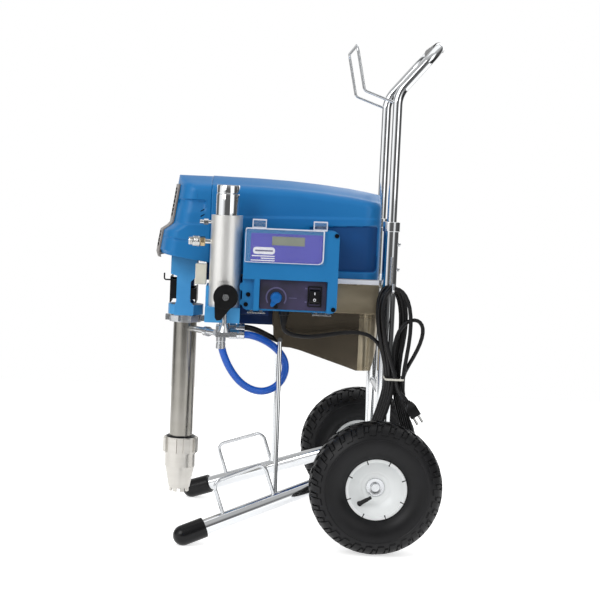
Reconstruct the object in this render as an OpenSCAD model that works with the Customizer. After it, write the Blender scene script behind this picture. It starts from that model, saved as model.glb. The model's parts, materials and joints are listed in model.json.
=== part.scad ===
/* [Cart] */
// Radius of the pneumatic tyres
tyre_r = 133; // [120:1:145]
// Half the distance between the two wheel mid-planes
wheel_gauge = 241; // [230:1:250]
// Half the distance between the two upright posts
post_gauge = 125; // [122:1:130]
// Outside radius of the steel posts and legs
post_r = 15.5; // [14:0.1:17]
// Height of the top of the posts
post_top = 637; // [620:1:650]
// Outside radius of the telescoping handle tube
handle_r = 10; // [9:0.1:11]
// Height of the centre of the handle's cross bar
handle_top = 1014; // [980:1:1040]

/* [Drive] */
// Half width of the motor shroud
shroud_w = 105; // [100:1:108]
// Height of the motor shroud at its front
shroud_top = 734; // [728:1:740]
// Height of the motor shaft
motor_z = 634; // [630:1:638]
// Teeth of the motor pinion
pinion_teeth = 12; // [12:1:12]
// Teeth of the crank gear
gear_teeth = 60; // [60:1:60]

/* [Pump] */
// Distance from the axle forward to the pump's axis
pump_x = -398; // [-402:1:-396]
// Outside radius of the pump cylinder
cylinder_r = 24.5; // [23:0.1:26]
// Radius of the pump rod
rod_r = 9; // [8:0.1:9.5]

/* [Control box] */
// Width of the control box
box_w = 189; // [180:1:192]
// Height of the control box
box_h = 163; // [155:1:166]

/* [Cords] */
// Diameter of the mains cable
cable_d = 8; // [6:0.1:8]
// Diameter of the blue hose
hose_d = 15; // [12:0.1:15]
// Turns in the hung hank of mains cable
hank_turns = 5; // [4:1:5]

/* [Hidden] */
$fn = 48;

// The model is drawn about the axle, and then moved so that its origin is under the middle.
front_reach = 465;
axle_x = (front_reach - tyre_r) / 2;

// Frame: each side is one bent tube, an upright post that turns into a leg.
tube_wall = 2;
bend_thinning = 0.04;
post_x = 17.5;
corner_z = 165;
cap_r = 20.5;
foot = [-377, 228, cap_r - 1];
leg_vec = [foot.x - post_x, foot.y - post_gauge, foot.z - corner_z];
leg_plan = norm([leg_vec.x, leg_vec.y]);
leg_len = norm(leg_vec);
leg_splay = atan2(leg_vec.y, -leg_vec.x);
leg_drop = atan2(-leg_vec.z, leg_plan);
leg_bend = 90 - leg_drop;
frame_bend_r = 60;
bend_tangent = frame_bend_r * tan(leg_bend / 2);
bore_foot = corner_z + bend_tangent + 40;
collar_h = 20;
collar_r = 17.5;
fit = 0.05;
axle_r = 8;
loop_wire_r = 3.4;
loop_rise = 71;
loop_start = 352;
loop_span = 110;
loop_corner_r = 16;
strut_r = 4.5;
strut_foot = [-197, -177, 96];
strut_head = [-199, -122.7, 402];
brace_r = 10;

// Handle
handle_insert = 120;
handle_bend_z = 893;
handle_bend_r = 60;
handle_lean = 40;
handle_corner_r = 42;
handle_run = (handle_top - handle_bend_z - handle_bend_r * sin(handle_lean)) / cos(handle_lean);
hanger_r = 3;

// Sheet metal
deck_z = 536;
tray_w = 118;
tray_front = -214;
sheet = 2;
skirt_top = 468;
skirt_corner_r = 40;

// Shells
shell = 3;
crown = 16;
shoulder_r = 18;
seam_x = -350;
rear_r = 38;

// Drive
gear_module = 1.5;
crank_z = motor_z - gear_module * (pinion_teeth + gear_teeth) / 2;
crank_throw = 20;
crank_disc_x = -372;
motor_r = 78;
motor_front = -298;
motor_rear = -80;
shaft_r = 8;
wrist_z = 508;
rod_len = crank_z + crank_throw - wrist_z;

// Pump
bore_r = 20;
cylinder_top = 441;
cylinder_foot = 150;
ball_r = 12;

// Filter column and valve
column = [-316, -165];
column_r = 31.5;
column_foot = 474;
column_top = 657;
cap_top = 717;
outlet_z = 603;
outlet_thread_r = 8.4;
valve = [-312, -205, 497];
tee_z = 422;

// Control box
box_x = -280;
box_z = 471;
box_front = -200;
box_back = -120;
box_corner_r = 12;
box_wall = 3;
recess = 12;
panel_x = [-246, -111];
panel_z = [471, 534];
hinge_y = -196;
hinge_z = 645;
hinge_x = [-251, -130];
pin_r = 2;

// Hank of mains cable: heights, leans and widths of its upper loops, counted from the waist.
hank = [24, -147, 343];
hank_step = [3.5, -8.5];
waist_half = 5;
upper_rise = [186, 184, 187, 122, 185];
upper_lean = [-13, -9, -14, 30, -16];
upper_wide = [42, 50, 38, 46, 52];
lower_drop = 165;
lower_wide = 90;
loop_rings = 24;
plug = [58, -207, 302];
plug_tilt = 146;
cable_r = cable_d / 2;

// Routes, as points about the axle
blue_route = [[-319, -150, 411], [-319, -150, 406], [-319, -150, 401], [-316, -150, 385], [-309, -148, 366],
              [-298, -144, 344], [-279, -136, 319], [-256, -126, 303], [-231, -118, 297], [-207, -115, 305],
              [-190, -111, 323], [-184, -109, 345], [-188, -108, 366], [-203, -112, 385], [-222, -124, 400],
              [-243, -141, 411], [-258, -149, 416], [-266, -150, 417], [-271, -150, 417], [-276, -150, 417]];
black_route = [[-279, -124, 429], [-274, -124, 429], [-269, -124, 429], [-257, -121, 427], [-240, -113, 421],
               [-222, -105, 411], [-203, -97, 403], [-180, -90, 399], [-158, -83, 407], [-140, -77, 430],
               [-133, -75, 460], [-131, -74, 495], [-131, -74, 530]];
run_route = [[-194, -160, 441], [-194, -160, 436], [-192, -160, 430], [-182, -160, 424], [-160, -159, 419],
             [-130, -158, 420],
             [-100, -156, 425], [-70, -154, 430], [-45, -152, 431], [-22, -151, 427], [-4, -150.5, 414],
             [9, -149, 395], [15, -148, 375], [18.5, -147, 356], [19, -147, 343]];
tail_route = [[36.5, -189.5, 343], [37, -192, 334], [40, -198, 323], [46, -204, 315], [53.5, -207, 308.6],
              [58, -207, 302]];
black_hose_d = 12;

function unit(v) = v / norm(v);
function lerp(a, b, t) = a + (b - a) * t;

// Height on a broken line of [x, z] pairs
function level(line, x, i = 0) =
    i >= len(line) - 2 || x <= line[i + 1][0]
        ? lerp(line[i][1], line[i + 1][1], (x - line[i][0]) / (line[i + 1][0] - line[i][0]))
        : level(line, x, i + 1);

// A smooth curve through hand-placed points, with so many steps to each span
function spline_point(p, i, t) =
    let (n = len(p) - 1,
         a = p[max(i - 1, 0)],
         b = p[i],
         c = p[min(i + 1, n)],
         d = p[min(i + 2, n)])
    0.5 * (2 * b + (c - a) * t + (2 * a - 5 * b + 4 * c - d) * t * t + (3 * b - a - 3 * c + d) * t * t * t);
function smooth(p, steps) =
    concat([for (i = [0 : len(p) - 2], k = [0 : steps - 1]) spline_point(p, i, k / steps)], [p[len(p) - 1]]);
function heading(p, i) =
    unit(p[min(i + 1, len(p) - 1)] - p[max(i - 1, 0)]);
function path_length(p, i = 1) =
    i >= len(p) ? 0 : norm(p[i] - p[i - 1]) + path_length(p, i + 1);

// Rings round a path, turned so that they never twist against the width axis
function tube_rings(p, r, sides) =
    [for (i = [0 : len(p) - 1])
        let (t = heading(p, i), n = unit(cross(t, [0, 1, 0])), b = cross(t, n))
        [for (k = [0 : sides - 1]) p[i] + r * (cos(360 * k / sides) * n + sin(360 * k / sides) * b)]];

// One closed skin over a list of equal rings
module skin(rings) {
    n = len(rings[0]);
    last = len(rings) - 1;
    points = [for (ring = rings, p = ring) p];
    sides = [for (i = [0 : last - 1], k = [0 : n - 1], half = [0, 1])
        let (a = i * n + k, b = i * n + (k + 1) % n)
        half == 0 ? [a, b + n, b] : [a, a + n, b + n]];
    ends = [for (k = [1 : n - 2], far = [0, 1])
        far == 0 ? [0, k, k + 1] : [last * n, last * n + k + 1, last * n + k]];
    polyhedron(points, concat(sides, ends));
}

module placed() {
    translate([axle_x, 0, 0]) children();
}

module mirrored() {
    children();
    mirror([0, 1, 0]) children();
}

// A solid cylinder between two points
module rod(a, b, r) {
    v = b - a;
    translate(a)
        rotate([0, acos(v.z / norm(v)), atan2(v.y, v.x)])
            cylinder(h = norm(v), r = r);
}

// Cylinders along X and Y, from one coordinate to another
module bar_x(x1, x2, y, z, r) {
    translate([x1, y, z]) rotate([0, 90, 0]) cylinder(h = x2 - x1, r = r);
}

module bar_y(y1, y2, x, z, r) {
    translate([x, y1, z]) rotate([-90, 0, 0]) cylinder(h = y2 - y1, r = r);
}

module block(low, high) {
    translate(low) cube(high - low);
}

// A bend that starts up +Z and turns towards +X, a hair thinner than the straights as bent tube is
module elbow(bend_r, r, angle) {
    translate([bend_r, 0, 0])
        mirror([1, 0, 0])
            rotate([90, 0, 0])
                rotate_extrude(angle = angle)
                    translate([bend_r, 0])
                        circle(r - bend_thinning);
}

// A rod bent as a list of steps: straight length, bend radius, bend angle, direction of bend
module bent_rod(r, steps, i = 0) {
    s = steps[i];
    if (s[0] > 0) cylinder(h = s[0], r = r);
    if (i < len(steps) - 1)
        translate([0, 0, s[0]])
            rotate([0, 0, s[3]]) {
                elbow(s[1], r, s[2]);
                translate([s[1] * (1 - cos(s[2])), 0, s[1] * sin(s[2])])
                    rotate([0, s[2], 0])
                        rotate([0, 0, -s[3]])
                            bent_rod(r, steps, i + 1);
            }
}

// A rectangle with round corners, exact
module round_rect(low, high, r) {
    translate(low + [r, 0]) square([high.x - low.x - 2 * r, high.y - low.y]);
    translate(low + [0, r]) square([high.x - low.x, high.y - low.y - 2 * r]);
    for (x = [low.x + r, high.x - r], y = [low.y + r, high.y - r])
        translate([x, y]) circle(r);
}

// A plate drawn in X and Z, standing from one Y to another
module upright_plate(y1, y2) {
    translate([0, y2, 0]) rotate([90, 0, 0]) linear_extrude(y2 - y1) children();
}

// ---------------------------------------------------------------- frame

module side_tube_core(r) {
    translate([post_x, -post_gauge, post_top])
        rotate([180, 0, 0])
            bent_rod(r, [[post_top - corner_z - bend_tangent, frame_bend_r, leg_bend, 180 - leg_splay],
                         [leg_len - bend_tangent, 0, 0, 0]]);
}

module side_tube() {
    color("silver")
        difference() {
            side_tube_core(post_r);
            translate([post_x, -post_gauge, bore_foot])
                cylinder(h = post_top, r = post_r - tube_wall);
        }
}

// Local frame of the near leg: +Z runs down it to the foot, and +X is up and across it
module on_leg() {
    translate([post_x, -post_gauge, corner_z])
        rotate([0, 0, leg_splay])
            rotate([0, -90 - leg_drop, 0])
                children();
}

module foot_cap() {
    difference() {
        on_leg() {
            translate([0, 0, leg_len]) sphere(cap_r);
            translate([0, 0, leg_len - 46]) cylinder(h = 46, r = cap_r);
        }
        on_leg() translate([0, 0, leg_len - 60]) cylinder(h = 60, r = post_r);
        block([-450, -300, -10], [-300, -150, 0]);
    }
}

module foot_caps() {
    color("#1c1c1e") mirrored() foot_cap();
}

module leg_loop() {
    side = loop_rise - loop_corner_r;
    difference() {
        on_leg()
            translate([0, 0, loop_start])
                rotate([0, 90, 0])
                    bent_rod(loop_wire_r, [[side, loop_corner_r, 90, 0],
                                           [loop_span - 2 * loop_corner_r, loop_corner_r, 90, 0],
                                           [side, 0, 0, 0]]);
        side_tube_core(post_r);
    }
}

module leg_loops() {
    color("silver") mirrored() leg_loop();
}

module axle_lug() {
    difference() {
        bar_y(-post_gauge - 12, -post_gauge + 8, 0, tyre_r, 15);
        side_tube_core(post_r);
        bar_y(-200, 200, 0, tyre_r, axle_r);
    }
}

module frame_braces() {
    color("silver") {
        mirrored() {
            axle_lug();
            difference() {
                rod(strut_foot, strut_head, strut_r);
                side_tube_core(post_r);
            }
            bar_y(strut_head.y, 3 * sheet - tray_w, strut_head.x, strut_head.z + 4, 5);
        }
        for (z = [deck_z - 6 - brace_r, 300])
            difference() {
                bar_y(-post_gauge, post_gauge, post_x, z, brace_r);
                mirrored() side_tube_core(post_r);
            }
    }
}

module post_collar() {
    difference() {
        union() {
            translate([post_x, -post_gauge, post_top]) cylinder(h = collar_h, r = collar_r);
            translate([post_x, -post_gauge, post_top - 40]) cylinder(h = 40, r = post_r - tube_wall);
        }
        translate([post_x, -post_gauge, post_top - 50]) cylinder(h = 100, r = handle_r + fit);
    }
    for (z = [611, 560])
        bar_x(post_x + post_r, post_x + post_r + 5, -post_gauge, z, 4);
}

module post_collars() {
    color("gainsboro") mirrored() post_collar();
}

module axle() {
    color("gray") {
        bar_y(-wheel_gauge - 4, wheel_gauge + 4, 0, tyre_r, axle_r);
        mirrored()
            difference() {
                bar_y(-wheel_gauge + 2, -wheel_gauge + 4, 0, tyre_r, 12.5);
                bar_y(-300, 0, 0, tyre_r, axle_r);
            }
    }
}

module cord_hook() {
    color("silver")
        translate([20, -post_gauge - post_r - 2.9, 586])
            rotate([180, 0, 0])
                bent_rod(2.8, [[62.5, 4.5, 90, 90], [48, 5, 90, 90], [12, 0, 0, 0]]);
}

// ---------------------------------------------------------------- handle

// One tube, from the near post up, over the cross bar and down into the far post
module handle_bar() {
    slope = handle_run - handle_corner_r;
    upright = handle_bend_z - post_top + handle_insert;
    across = 2 * (post_gauge - handle_corner_r);
    color("silver")
        translate([post_x, -post_gauge, post_top - handle_insert])
            bent_rod(handle_r, [[upright, handle_bend_r, handle_lean, 0],
                                [slope, handle_corner_r, 90, 90],
                                [across, handle_corner_r, 90, 90],
                                [slope, handle_bend_r, handle_lean, 0],
                                [upright, 0, 0, 0]]);
}

function handle_bar_x() = post_x + handle_bend_r * (1 - cos(handle_lean)) + handle_run * sin(handle_lean);

module handle_grip() {
    color("#1c1c1e")
        difference() {
            bar_y(-75, 75, handle_bar_x(), handle_top, handle_r + 2);
            bar_y(-80, 80, handle_bar_x(), handle_top, handle_r);
        }
}

module hose_hanger() {
    root = [post_x, 895];
    knee = [-53, 920];
    rise = 92;
    arm = norm([root.x - knee.x, knee.y - root.y]);
    pitch = 90 - atan2(knee.y - root.y, root.x - knee.x);
    color("silver")
        mirrored()
            difference() {
                translate([root.x, -post_gauge, root.y])
                    rotate([0, 0, 180])
                        rotate([0, pitch, 0])
                            bent_rod(hanger_r, [[arm - 8, 10, pitch - 12, 180],
                                                [rise - 18, 12, 90, -90],
                                                [post_gauge - 12, 0, 0, 0]]);
                translate([post_x, -post_gauge, 800]) cylinder(h = 120, r = handle_r);
            }
}

// ---------------------------------------------------------------- wheels

// Half of the tyre's section, as radius and distance outwards from its mid-plane
TYRE_HALF = [[133, 0], [132, 14], [129, 26], [118, 38], [108, 43], [95, 44], [80, 41], [68, 33],
             [62.4, 26], [61.4, 24.2], [57, 24.2], [57, 17], [62, 17], [68, 22], [78, 31], [95, 35.5],
             [110, 33.5], [118, 27], [123, 14], [124, 0]];

module tyre_section() {
    grow = tyre_r - 133;
    for (side = [-1, 1])
        polygon([for (p = TYRE_HALF) [p.x > 66 ? p.x + grow : p.x, p.y * side]]);
}

module tyre() {
    color("#202022")
        translate([0, -wheel_gauge, tyre_r])
            rotate([90, 0, 0])
                rotate_extrude($fn = 96) tyre_section();
}

module rim() {
    color("white")
        translate([0, -wheel_gauge, tyre_r])
            rotate([90, 0, 0])
                rotate_extrude($fn = 96) {
                    translate([54.4, -26.8]) square([2.4, 53.6]);
                    for (y = [-26.8, 24.3]) translate([54.4, y]) square([6.6, 2.5]);
                    polygon([[20, -8], [30, -6], [42, 2], [55, 20], [55, 23], [41, 5], [29, -3], [20, -5]]);
                    translate([axle_r + fit, -40]) square([13, 35.7]);
                }
    color("#1c1c1e")
        translate([0, -wheel_gauge, tyre_r])
            rod([-31, -9, -32], [-9, -17, -17], 4);
}

// ---------------------------------------------------------------- sheet metal

module tray() {
    color("gainsboro") {
        block([tray_front, -tray_w, deck_z - 6], [-2, tray_w, deck_z]);
        block([-2, 20 - post_gauge, deck_z - 6], [post_x + 5, post_gauge - 20, deck_z]);
        mirrored() {
            block([tray_front, -tray_w, deck_z - 10], [-2, -tray_w + sheet, deck_z - 6]);
            block([tray_front, -tray_w + sheet, skirt_top], [-2, -tray_w + 2 * sheet, deck_z - 6]);
            block([tray_front, -tray_w - 1, skirt_top - sheet], [-2, -tray_w + 2 * sheet, skirt_top]);
        }
        block([-2 - sheet, -tray_w + 2 * sheet, skirt_top], [-2, tray_w - 2 * sheet, deck_z - 6]);
    }
}

module skirt_plan(inset) {
    w = tray_w - 3 * sheet - inset;
    rear = 2 - inset;
    translate([tray_front, -w]) square([rear - tray_front - skirt_corner_r, 2 * w]);
    translate([tray_front, -w + skirt_corner_r]) square([rear - tray_front, 2 * (w - skirt_corner_r)]);
    for (y = [-1, 1])
        translate([rear - skirt_corner_r, y * (w - skirt_corner_r)]) circle(skirt_corner_r);
}

module tray_skirt() {
    color("#b8b4ae")
        intersection() {
            translate([0, 0, 300])
                linear_extrude(200)
                    difference() {
                        skirt_plan(0);
                        skirt_plan(sheet);
                        translate([tray_front - 1, -tray_w + 6 + sheet])
                            square([12, 2 * (tray_w - 6 - sheet)]);
                    }
            upright_plate(-150, 150)
                polygon([[-214, skirt_top - sheet], [-214, 434], [-213, 415], [-194, 391], [-177, 390],
                         [-156, 385], [-62, 355], [-41, 348], [-10, 348], [4, 402], [4, skirt_top - sheet]]);
        }
}

// ---------------------------------------------------------------- shells

// Height of the cover's skin above its half width, over the crowned top and the round shoulder
function skin_z(y, w, top) =
    let (flat = w - shoulder_r, a = abs(y))
    a <= flat ? top - crown * pow(a / flat, 2)
              : top - crown - shoulder_r + sqrt(max(0, pow(shoulder_r, 2) - pow(a - flat, 2)));

function skin_w(z, w, top) =
    let (s = top - z, flat = w - shoulder_r)
    s <= crown ? flat * sqrt(max(s, 0) / crown)
               : s >= crown + shoulder_r ? w
               : flat + sqrt(pow(shoulder_r, 2) - pow(shoulder_r - (s - crown), 2));

// A shell over two lists of open rings, outer and inner, closed at its last ring and open at its first
module shell_skin(outer, inner) {
    n = len(outer[0]);
    last = len(outer) - 1;
    m = n * (last + 1);
    points = concat([for (ring = outer, p = ring) p], [for (ring = inner, p = ring) p]);
    walls = [for (i = [0 : last - 1], k = [0 : n - 2], half = [0, 1])
        let (a = i * n + k, b = a + 1)
        half == 0 ? [a, b, b + n] : [a, b + n, a + n]];
    lining = [for (f = walls) [f[2] + m, f[1] + m, f[0] + m]];
    rim = [for (k = [0 : n - 2], half = [0, 1]) half == 0 ? [k + 1, k, k + m] : [k + 1, k + m, k + 1 + m]];
    edges = [for (i = [0 : last - 1], k = [0, n - 1], half = [0, 1])
        let (a = i * n + k, b = a + n, quad = half == 0 ? [a, b, b + m] : [a, b + m, a + m])
        k == 0 ? quad : [quad[2], quad[1], quad[0]]];
    e = last * n;
    mid = e + floor(n / 2);
    fan = [for (k = [0 : n - 1]) if (e + k != mid && e + k + 1 != mid) [mid, e + k, e + (k + 1) % n]];
    caps = concat(fan, [for (f = fan) [f[2] + m, f[1] + m, f[0] + m]]);
    sill = [[e, e + n - 1, e + n - 1 + m], [e, e + n - 1 + m, e + m]];
    polyhedron(points, concat(walls, lining, rim, edges, caps, sill));
}

SHROUD_TOP = [[-350, 0], [-316, -1], [-253, -1], [-190, -4], [-126, -9], [-63, -15], [-9, -24], [0, -30]];
SHROUD_X = [-350, -316, -253, -190, -126, -90, -63, -38, -24, -13, -6, -2, 0];

// One section of the shroud, from its near bottom edge over the top to its far one
function shroud_section(x, inset) =
    let (round = x > -rear_r ? rear_r - sqrt(max(0, pow(rear_r, 2) - pow(x + rear_r, 2))) : 0,
         w = shroud_w - inset - round,
         top = shroud_top + level(SHROUD_TOP, x) - inset,
         flat = w - shoulder_r,
         over = concat([for (a = [0 : 18 : 90]) w - shoulder_r * (1 - cos(a))],
                       [for (k = [1 : 4]) flat * (1 - k / 5)]),
         half = concat([[w, deck_z], [w, 600], [w, 655]], [for (y = over) [y, skin_z(y, w, top)]]),
         place = x - inset * (x - seam_x) / -seam_x)
    concat([for (p = half) [place, -p[0], p[1]]], [[place, 0, top]],
           [for (i = [len(half) - 1 : -1 : 0]) [place, half[i][0], half[i][1]]]);

module motor_shroud() {
    color("#1f6fb2")
        shell_skin([for (x = SHROUD_X) shroud_section(x, 0)], [for (x = SHROUD_X) shroud_section(x, shell)]);
}

FRONT_LINE = [[556, -456], [572, -461], [595, -458], [619, -454], [628, -441], [635, -435], [683, -428],
              [732, -421], [740, -420]];
COVER_RISE = [0, 0.1, 0.22, 0.32, 0.36, 0.41, 0.46, 0.6, 0.72, 0.81, 0.85, 0.88, 0.9, 0.92, 0.94,
              0.965, 0.985, 0.997];
cover_low = 557;
front_bulge = 14;

// Half of the bowed front at one height, from its middle out to the side
function cover_bow(z, w, inset) =
    [for (k = [0 : 5])
        let (y = w * sin(90 * k / 5))
        [level(FRONT_LINE, z) + inset + front_bulge * pow(y / 85, 2) + 22 * pow(k / 5, 4), y]];

// One section of the front cover, from the far seam round the bowed front and back to the near one
function cover_section(t, inset) =
    let (z = lerp(cover_low, shroud_top - inset, t),
         w = skin_w(z + inset, shroud_w, shroud_top) - inset,
         side = cover_bow(z, w, inset),
         plan = concat([[seam_x, w]],
                       [for (k = [5 : -1 : 0]) side[k]],
                       [for (k = [1 : 5]) [side[k].x, -side[k].y]],
                       [[seam_x, -w]]))
    [for (p = plan) [p.x, p.y, z + (t < 0.05 ? 14 * (seam_x - p.x) / 101 : 0)]];

module front_cover() {
    color("#1f6fb2")
        shell_skin([for (t = COVER_RISE) cover_section(t, 0)],
                   [for (t = COVER_RISE) cover_section(t, shell)]);
}

module front_plate() {
    color("darkgray")
        skin([for (t = COVER_RISE)
            if (t > 0.05 && t < 0.89)
                let (z = lerp(cover_low, shroud_top, t), bow = cover_bow(z, shroud_w, 0))
                concat([for (k = [-2 : 2]) [bow[abs(k)].x - 3.5, sign(k) * bow[abs(k)].y, z]],
                       [for (k = [2 : -1 : -2]) [bow[abs(k)].x - 0.1, sign(k) * bow[abs(k)].y, z]])]);
}

// ---------------------------------------------------------------- drive

module gear_housing() {
    color("#174f86") {
        difference() {
            block([-356, -80, 520], [-302, 80, 705]);
            block([-350, -74, 526], [-308, 74, 699]);
            bar_x(-360, -340, 0, crank_z, 12.4);
            bar_x(-340, -300, 0, motor_z, 30);
        }
        difference() {
            block([-302, -78, 432], [tray_front - 2, 78, 529]);
            block([-296, -72, 438], [tray_front - 8, 72, 523]);
        }
    }
}

module pump_yoke() {
    color("#1f6fb2") {
        mirrored()
            upright_plate(-46, -34)
                polygon([[-356, 640], [-356, 560], [-376, 560], [-376, 523], [-388, 512], [-388, 470],
                         [-380, 462], [-420, 462], [-417, 470], [-417, 523], [-430, 527], [-430, 600],
                         [-410, 640]]);
        difference() {
            translate([pump_x, 0, cylinder_top]) cylinder(h = 21, r = 37);
            translate([pump_x, 0, cylinder_top - 1]) cylinder(h = 30, r = bore_r + 0.5);
        }
        mirrored()
            translate([pump_x - 22, -46, cylinder_top]) cube([40, 16, 21]);
    }
}

module motor_case() {
    color("dimgray") {
        difference() {
            bar_x(motor_front, motor_rear, 0, motor_z, motor_r);
            bar_x(motor_front + 6, motor_rear - 6, 0, motor_z, motor_r - 6);
            bar_x(motor_front - 1, motor_rear + 1, 0, motor_z, shaft_r + 0.5);
        }
        for (x = [motor_front + 20, motor_rear - 50])
            difference() {
                block([x, -60, deck_z + 0.3], [x + 30, 60, motor_z - 50]);
                bar_x(motor_front, motor_rear, 0, motor_z, motor_r);
            }
    }
}

// A straight-flanked spur gear, drawn as one outline
module gear(teeth, width, bore) {
    r = gear_module * teeth / 2;
    root = r - 1.2 * gear_module;
    tip = r + 0.8 * gear_module;
    wide = 0.75 * gear_module / root * 180 / PI;
    narrow = 0.3 * gear_module / tip * 180 / PI;
    linear_extrude(width)
        difference() {
            polygon([for (k = [0 : teeth - 1],
                          c = [[root, -wide], [tip, -narrow], [tip, narrow], [root, wide]])
                let (a = 360 * k / teeth + c[1])
                [c[0] * cos(a), c[0] * sin(a)]]);
            circle(bore);
        }
}

module motor_rotor() {
    color("silver") {
        bar_x(-344, -56, 0, motor_z, shaft_r - 1.5);
        bar_x(motor_front + 12, motor_rear - 12, 0, motor_z, 52);
        translate([-344, 0, motor_z])
            rotate([0, 90, 0])
                gear(pinion_teeth, 14, shaft_r - 3);
    }
}

module motor_fan() {
    color("#2a2a2c")
        difference() {
            union() {
                bar_x(-74, -58, 0, motor_z, 18);
                for (a = [0 : 45 : 315])
                    translate([-66, 0, motor_z])
                        rotate([a, 0, 0])
                            rotate([0, 0, 25])
                                translate([-1.5, -10, 12])
                                    cube([3, 20, 58]);
            }
            bar_x(-80, -50, 0, motor_z, shaft_r - 1.5);
        }
}

module crank_gear() {
    color("darkgray") {
        translate([-342, 0, crank_z])
            rotate([0, 90, 0])
                rotate([0, 0, 180 / gear_teeth])
                    gear(gear_teeth, 12, 11);
        bar_x(crank_disc_x + 10, -330, 0, crank_z, 12);
        bar_x(crank_disc_x, crank_disc_x + 10, 0, crank_z, 30);
        bar_x(crank_disc_x - 12, crank_disc_x, 0, crank_z + crank_throw, 8);
    }
}

module connecting_rod() {
    color("silver")
        difference() {
            union() {
                bar_x(-408, -388, 0, wrist_z + rod_len, 13);
                block([-404, -9, wrist_z + 14], [-392, 9, wrist_z + rod_len]);
                bar_x(-404, -392, 0, wrist_z, 14);
                block([-404, -14, wrist_z], [-392, 14, wrist_z + 14]);
            }
            bar_x(-420, -380, 0, wrist_z + rod_len, 8.4);
            bar_x(-420, -380, 0, wrist_z, 6 + fit);
        }
}

// ---------------------------------------------------------------- pump

module piston_rod() {
    color("gainsboro") {
        difference() {
            translate([pump_x, 0, wrist_z - 26]) cylinder(h = 40, r = 17);
            block([pump_x - 6.6, -20, wrist_z - 16], [pump_x + 6.6, 20, wrist_z + 20]);
        }
        bar_x(pump_x - 14, pump_x + 14, 0, wrist_z, 6);
        translate([pump_x, 0, 290]) cylinder(h = wrist_z - 26 - 290, r = rod_r);
        translate([pump_x, 0, 262]) cylinder(h = 28, r = bore_r - 0.4);
    }
}

module pump_cylinder() {
    color("silver")
        translate([pump_x, 0, cylinder_foot])
            difference() {
                cylinder(h = cylinder_top - cylinder_foot, r = cylinder_r);
                translate([0, 0, -1]) cylinder(h = 400, r = bore_r);
            }
}

module pump_packings() {
    color("goldenrod")
        translate([pump_x, 0, 396])
            difference() {
                cylinder(h = 40, r = bore_r - 0.1);
                translate([0, 0, -1]) cylinder(h = 60, r = rod_r + fit);
            }
}

module jam_nut() {
    color("silver")
        translate([pump_x, 0, 425])
            difference() {
                union() {
                    cylinder(h = 15.7, r = 34);
                    for (a = [0 : 60 : 300])
                        rotate([0, 0, a])
                            translate([30, -9, 2])
                                cube([12, 18, 12]);
                }
                translate([0, 0, -1]) cylinder(h = 40, r = cylinder_r + 0.1);
            }
}

module intake_nut() {
    color("silver")
        translate([pump_x, 0, 116])
            difference() {
                union() {
                    cylinder(h = 30, r = 32);
                    translate([0, 0, 28]) cylinder(h = 35, r = 34);
                    for (a = [22.5 : 45 : 337.5])
                        rotate([0, 0, a])
                            translate([30, -7, 31])
                                cube([7, 14, 30]);
                }
                translate([0, 0, 34]) cylinder(h = 40, r = cylinder_r + 0.1);
                translate([0, 0, -1]) cylinder(h = 60, r = 9);
            }
}

module intake_ball() {
    color("silver")
        translate([pump_x, 0, 150 + sqrt(pow(ball_r, 2) - 81) + 0.4]) sphere(ball_r);
}

module inlet_strainer() {
    color("gainsboro")
        translate([pump_x, 0, 0])
            difference() {
                union() {
                    translate([0, 0, 71]) cylinder(h = 45, r1 = 22.5, r2 = 31);
                    translate([0, 0, 62]) cylinder(h = 9, r = 21);
                }
                translate([0, 0, 50]) cylinder(h = 62, r = 16);
                translate([0, 0, 50]) cylinder(h = 80, r = 9);
                for (a = [0 : 45 : 135])
                    rotate([0, 0, a])
                        translate([-30, -3.5, 60])
                            cube([60, 7, 9]);
            }
}

module rod_guards() {
    color("#1c1c1e") {
        block([-431, -40, 467], [-428, 40, 521]);
        block([-378, -46, 468], [-375, 46, 500]);
        mirrored() {
            block([-428, 34, 475], [-417, 40, 515]);
            block([-388, 34, 475], [-378, 46, 498]);
        }
        translate([-431, -10, 512])
            rotate([0, -90, 0])
                bent_rod(1.6, [[10, 4, 90, 0], [10, 0, 0, 0]]);
    }
}

// ---------------------------------------------------------------- fluid side

module filter_column() {
    color("silver")
        difference() {
            translate([column.x, column.y, column_foot])
                cylinder(h = column_top - column_foot, r = column_r);
            translate([column.x, column.y, column_foot + 8])
                cylinder(h = 200, r = column_r - 8);
            block([column.x - 26, -200, 470], [column.x + 26, column.y - 28.5, 526]);
        }
}

module filter_cap() {
    color("gainsboro")
        translate([column.x, column.y, 0]) {
            translate([0, 0, column_top - 12]) cylinder(h = 12, r = column_r - 8.2);
            translate([0, 0, column_top]) cylinder(h = 45, r = 24);
            translate([0, 0, 702]) cylinder(h = 2, r = 23);
            translate([0, 0, 704]) cylinder(h = cap_top - 704, r = 24);
        }
}

module filter_element() {
    color("white")
        translate([column.x, column.y, column_foot + 10])
            difference() {
                cylinder(h = 150, r = 16);
                translate([0, 0, 4]) cylinder(h = 150, r = 12);
            }
}

module manifold_block() {
    color("#2b74c4")
        difference() {
            union() {
                block([-353, -172, 443], [-283, -80.3, 514]);
                block([-353, -194, 443], [-283, -171, column_foot]);
            }
            translate([column.x, column.y, column_foot]) cylinder(h = 100, r = column_r + 0.1);
        }
}

module sensor_block() {
    color("ivory") {
        block([-376, -150, 515], [-353.5, -118, 556]);
        block([-366, -118, 525], [-356, -56, 545]);
    }
}

// The column's own room, cut from whatever is screwed into its side
module column_room() {
    translate([column.x, column.y, column_foot - 1]) cylinder(h = 300, r = column_r);
}

module hose_outlet() {
    z = outlet_z;
    color("silver") {
        difference() {
            bar_x(-358, column.x - 25, column.y, z, 5);
            column_room();
        }
        bar_x(-368, -358, column.y, z, 10);
        bar_x(-383, -368, column.y, z, 11);
        bar_x(-391, -383, column.y, z, outlet_thread_r);
    }
}

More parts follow.
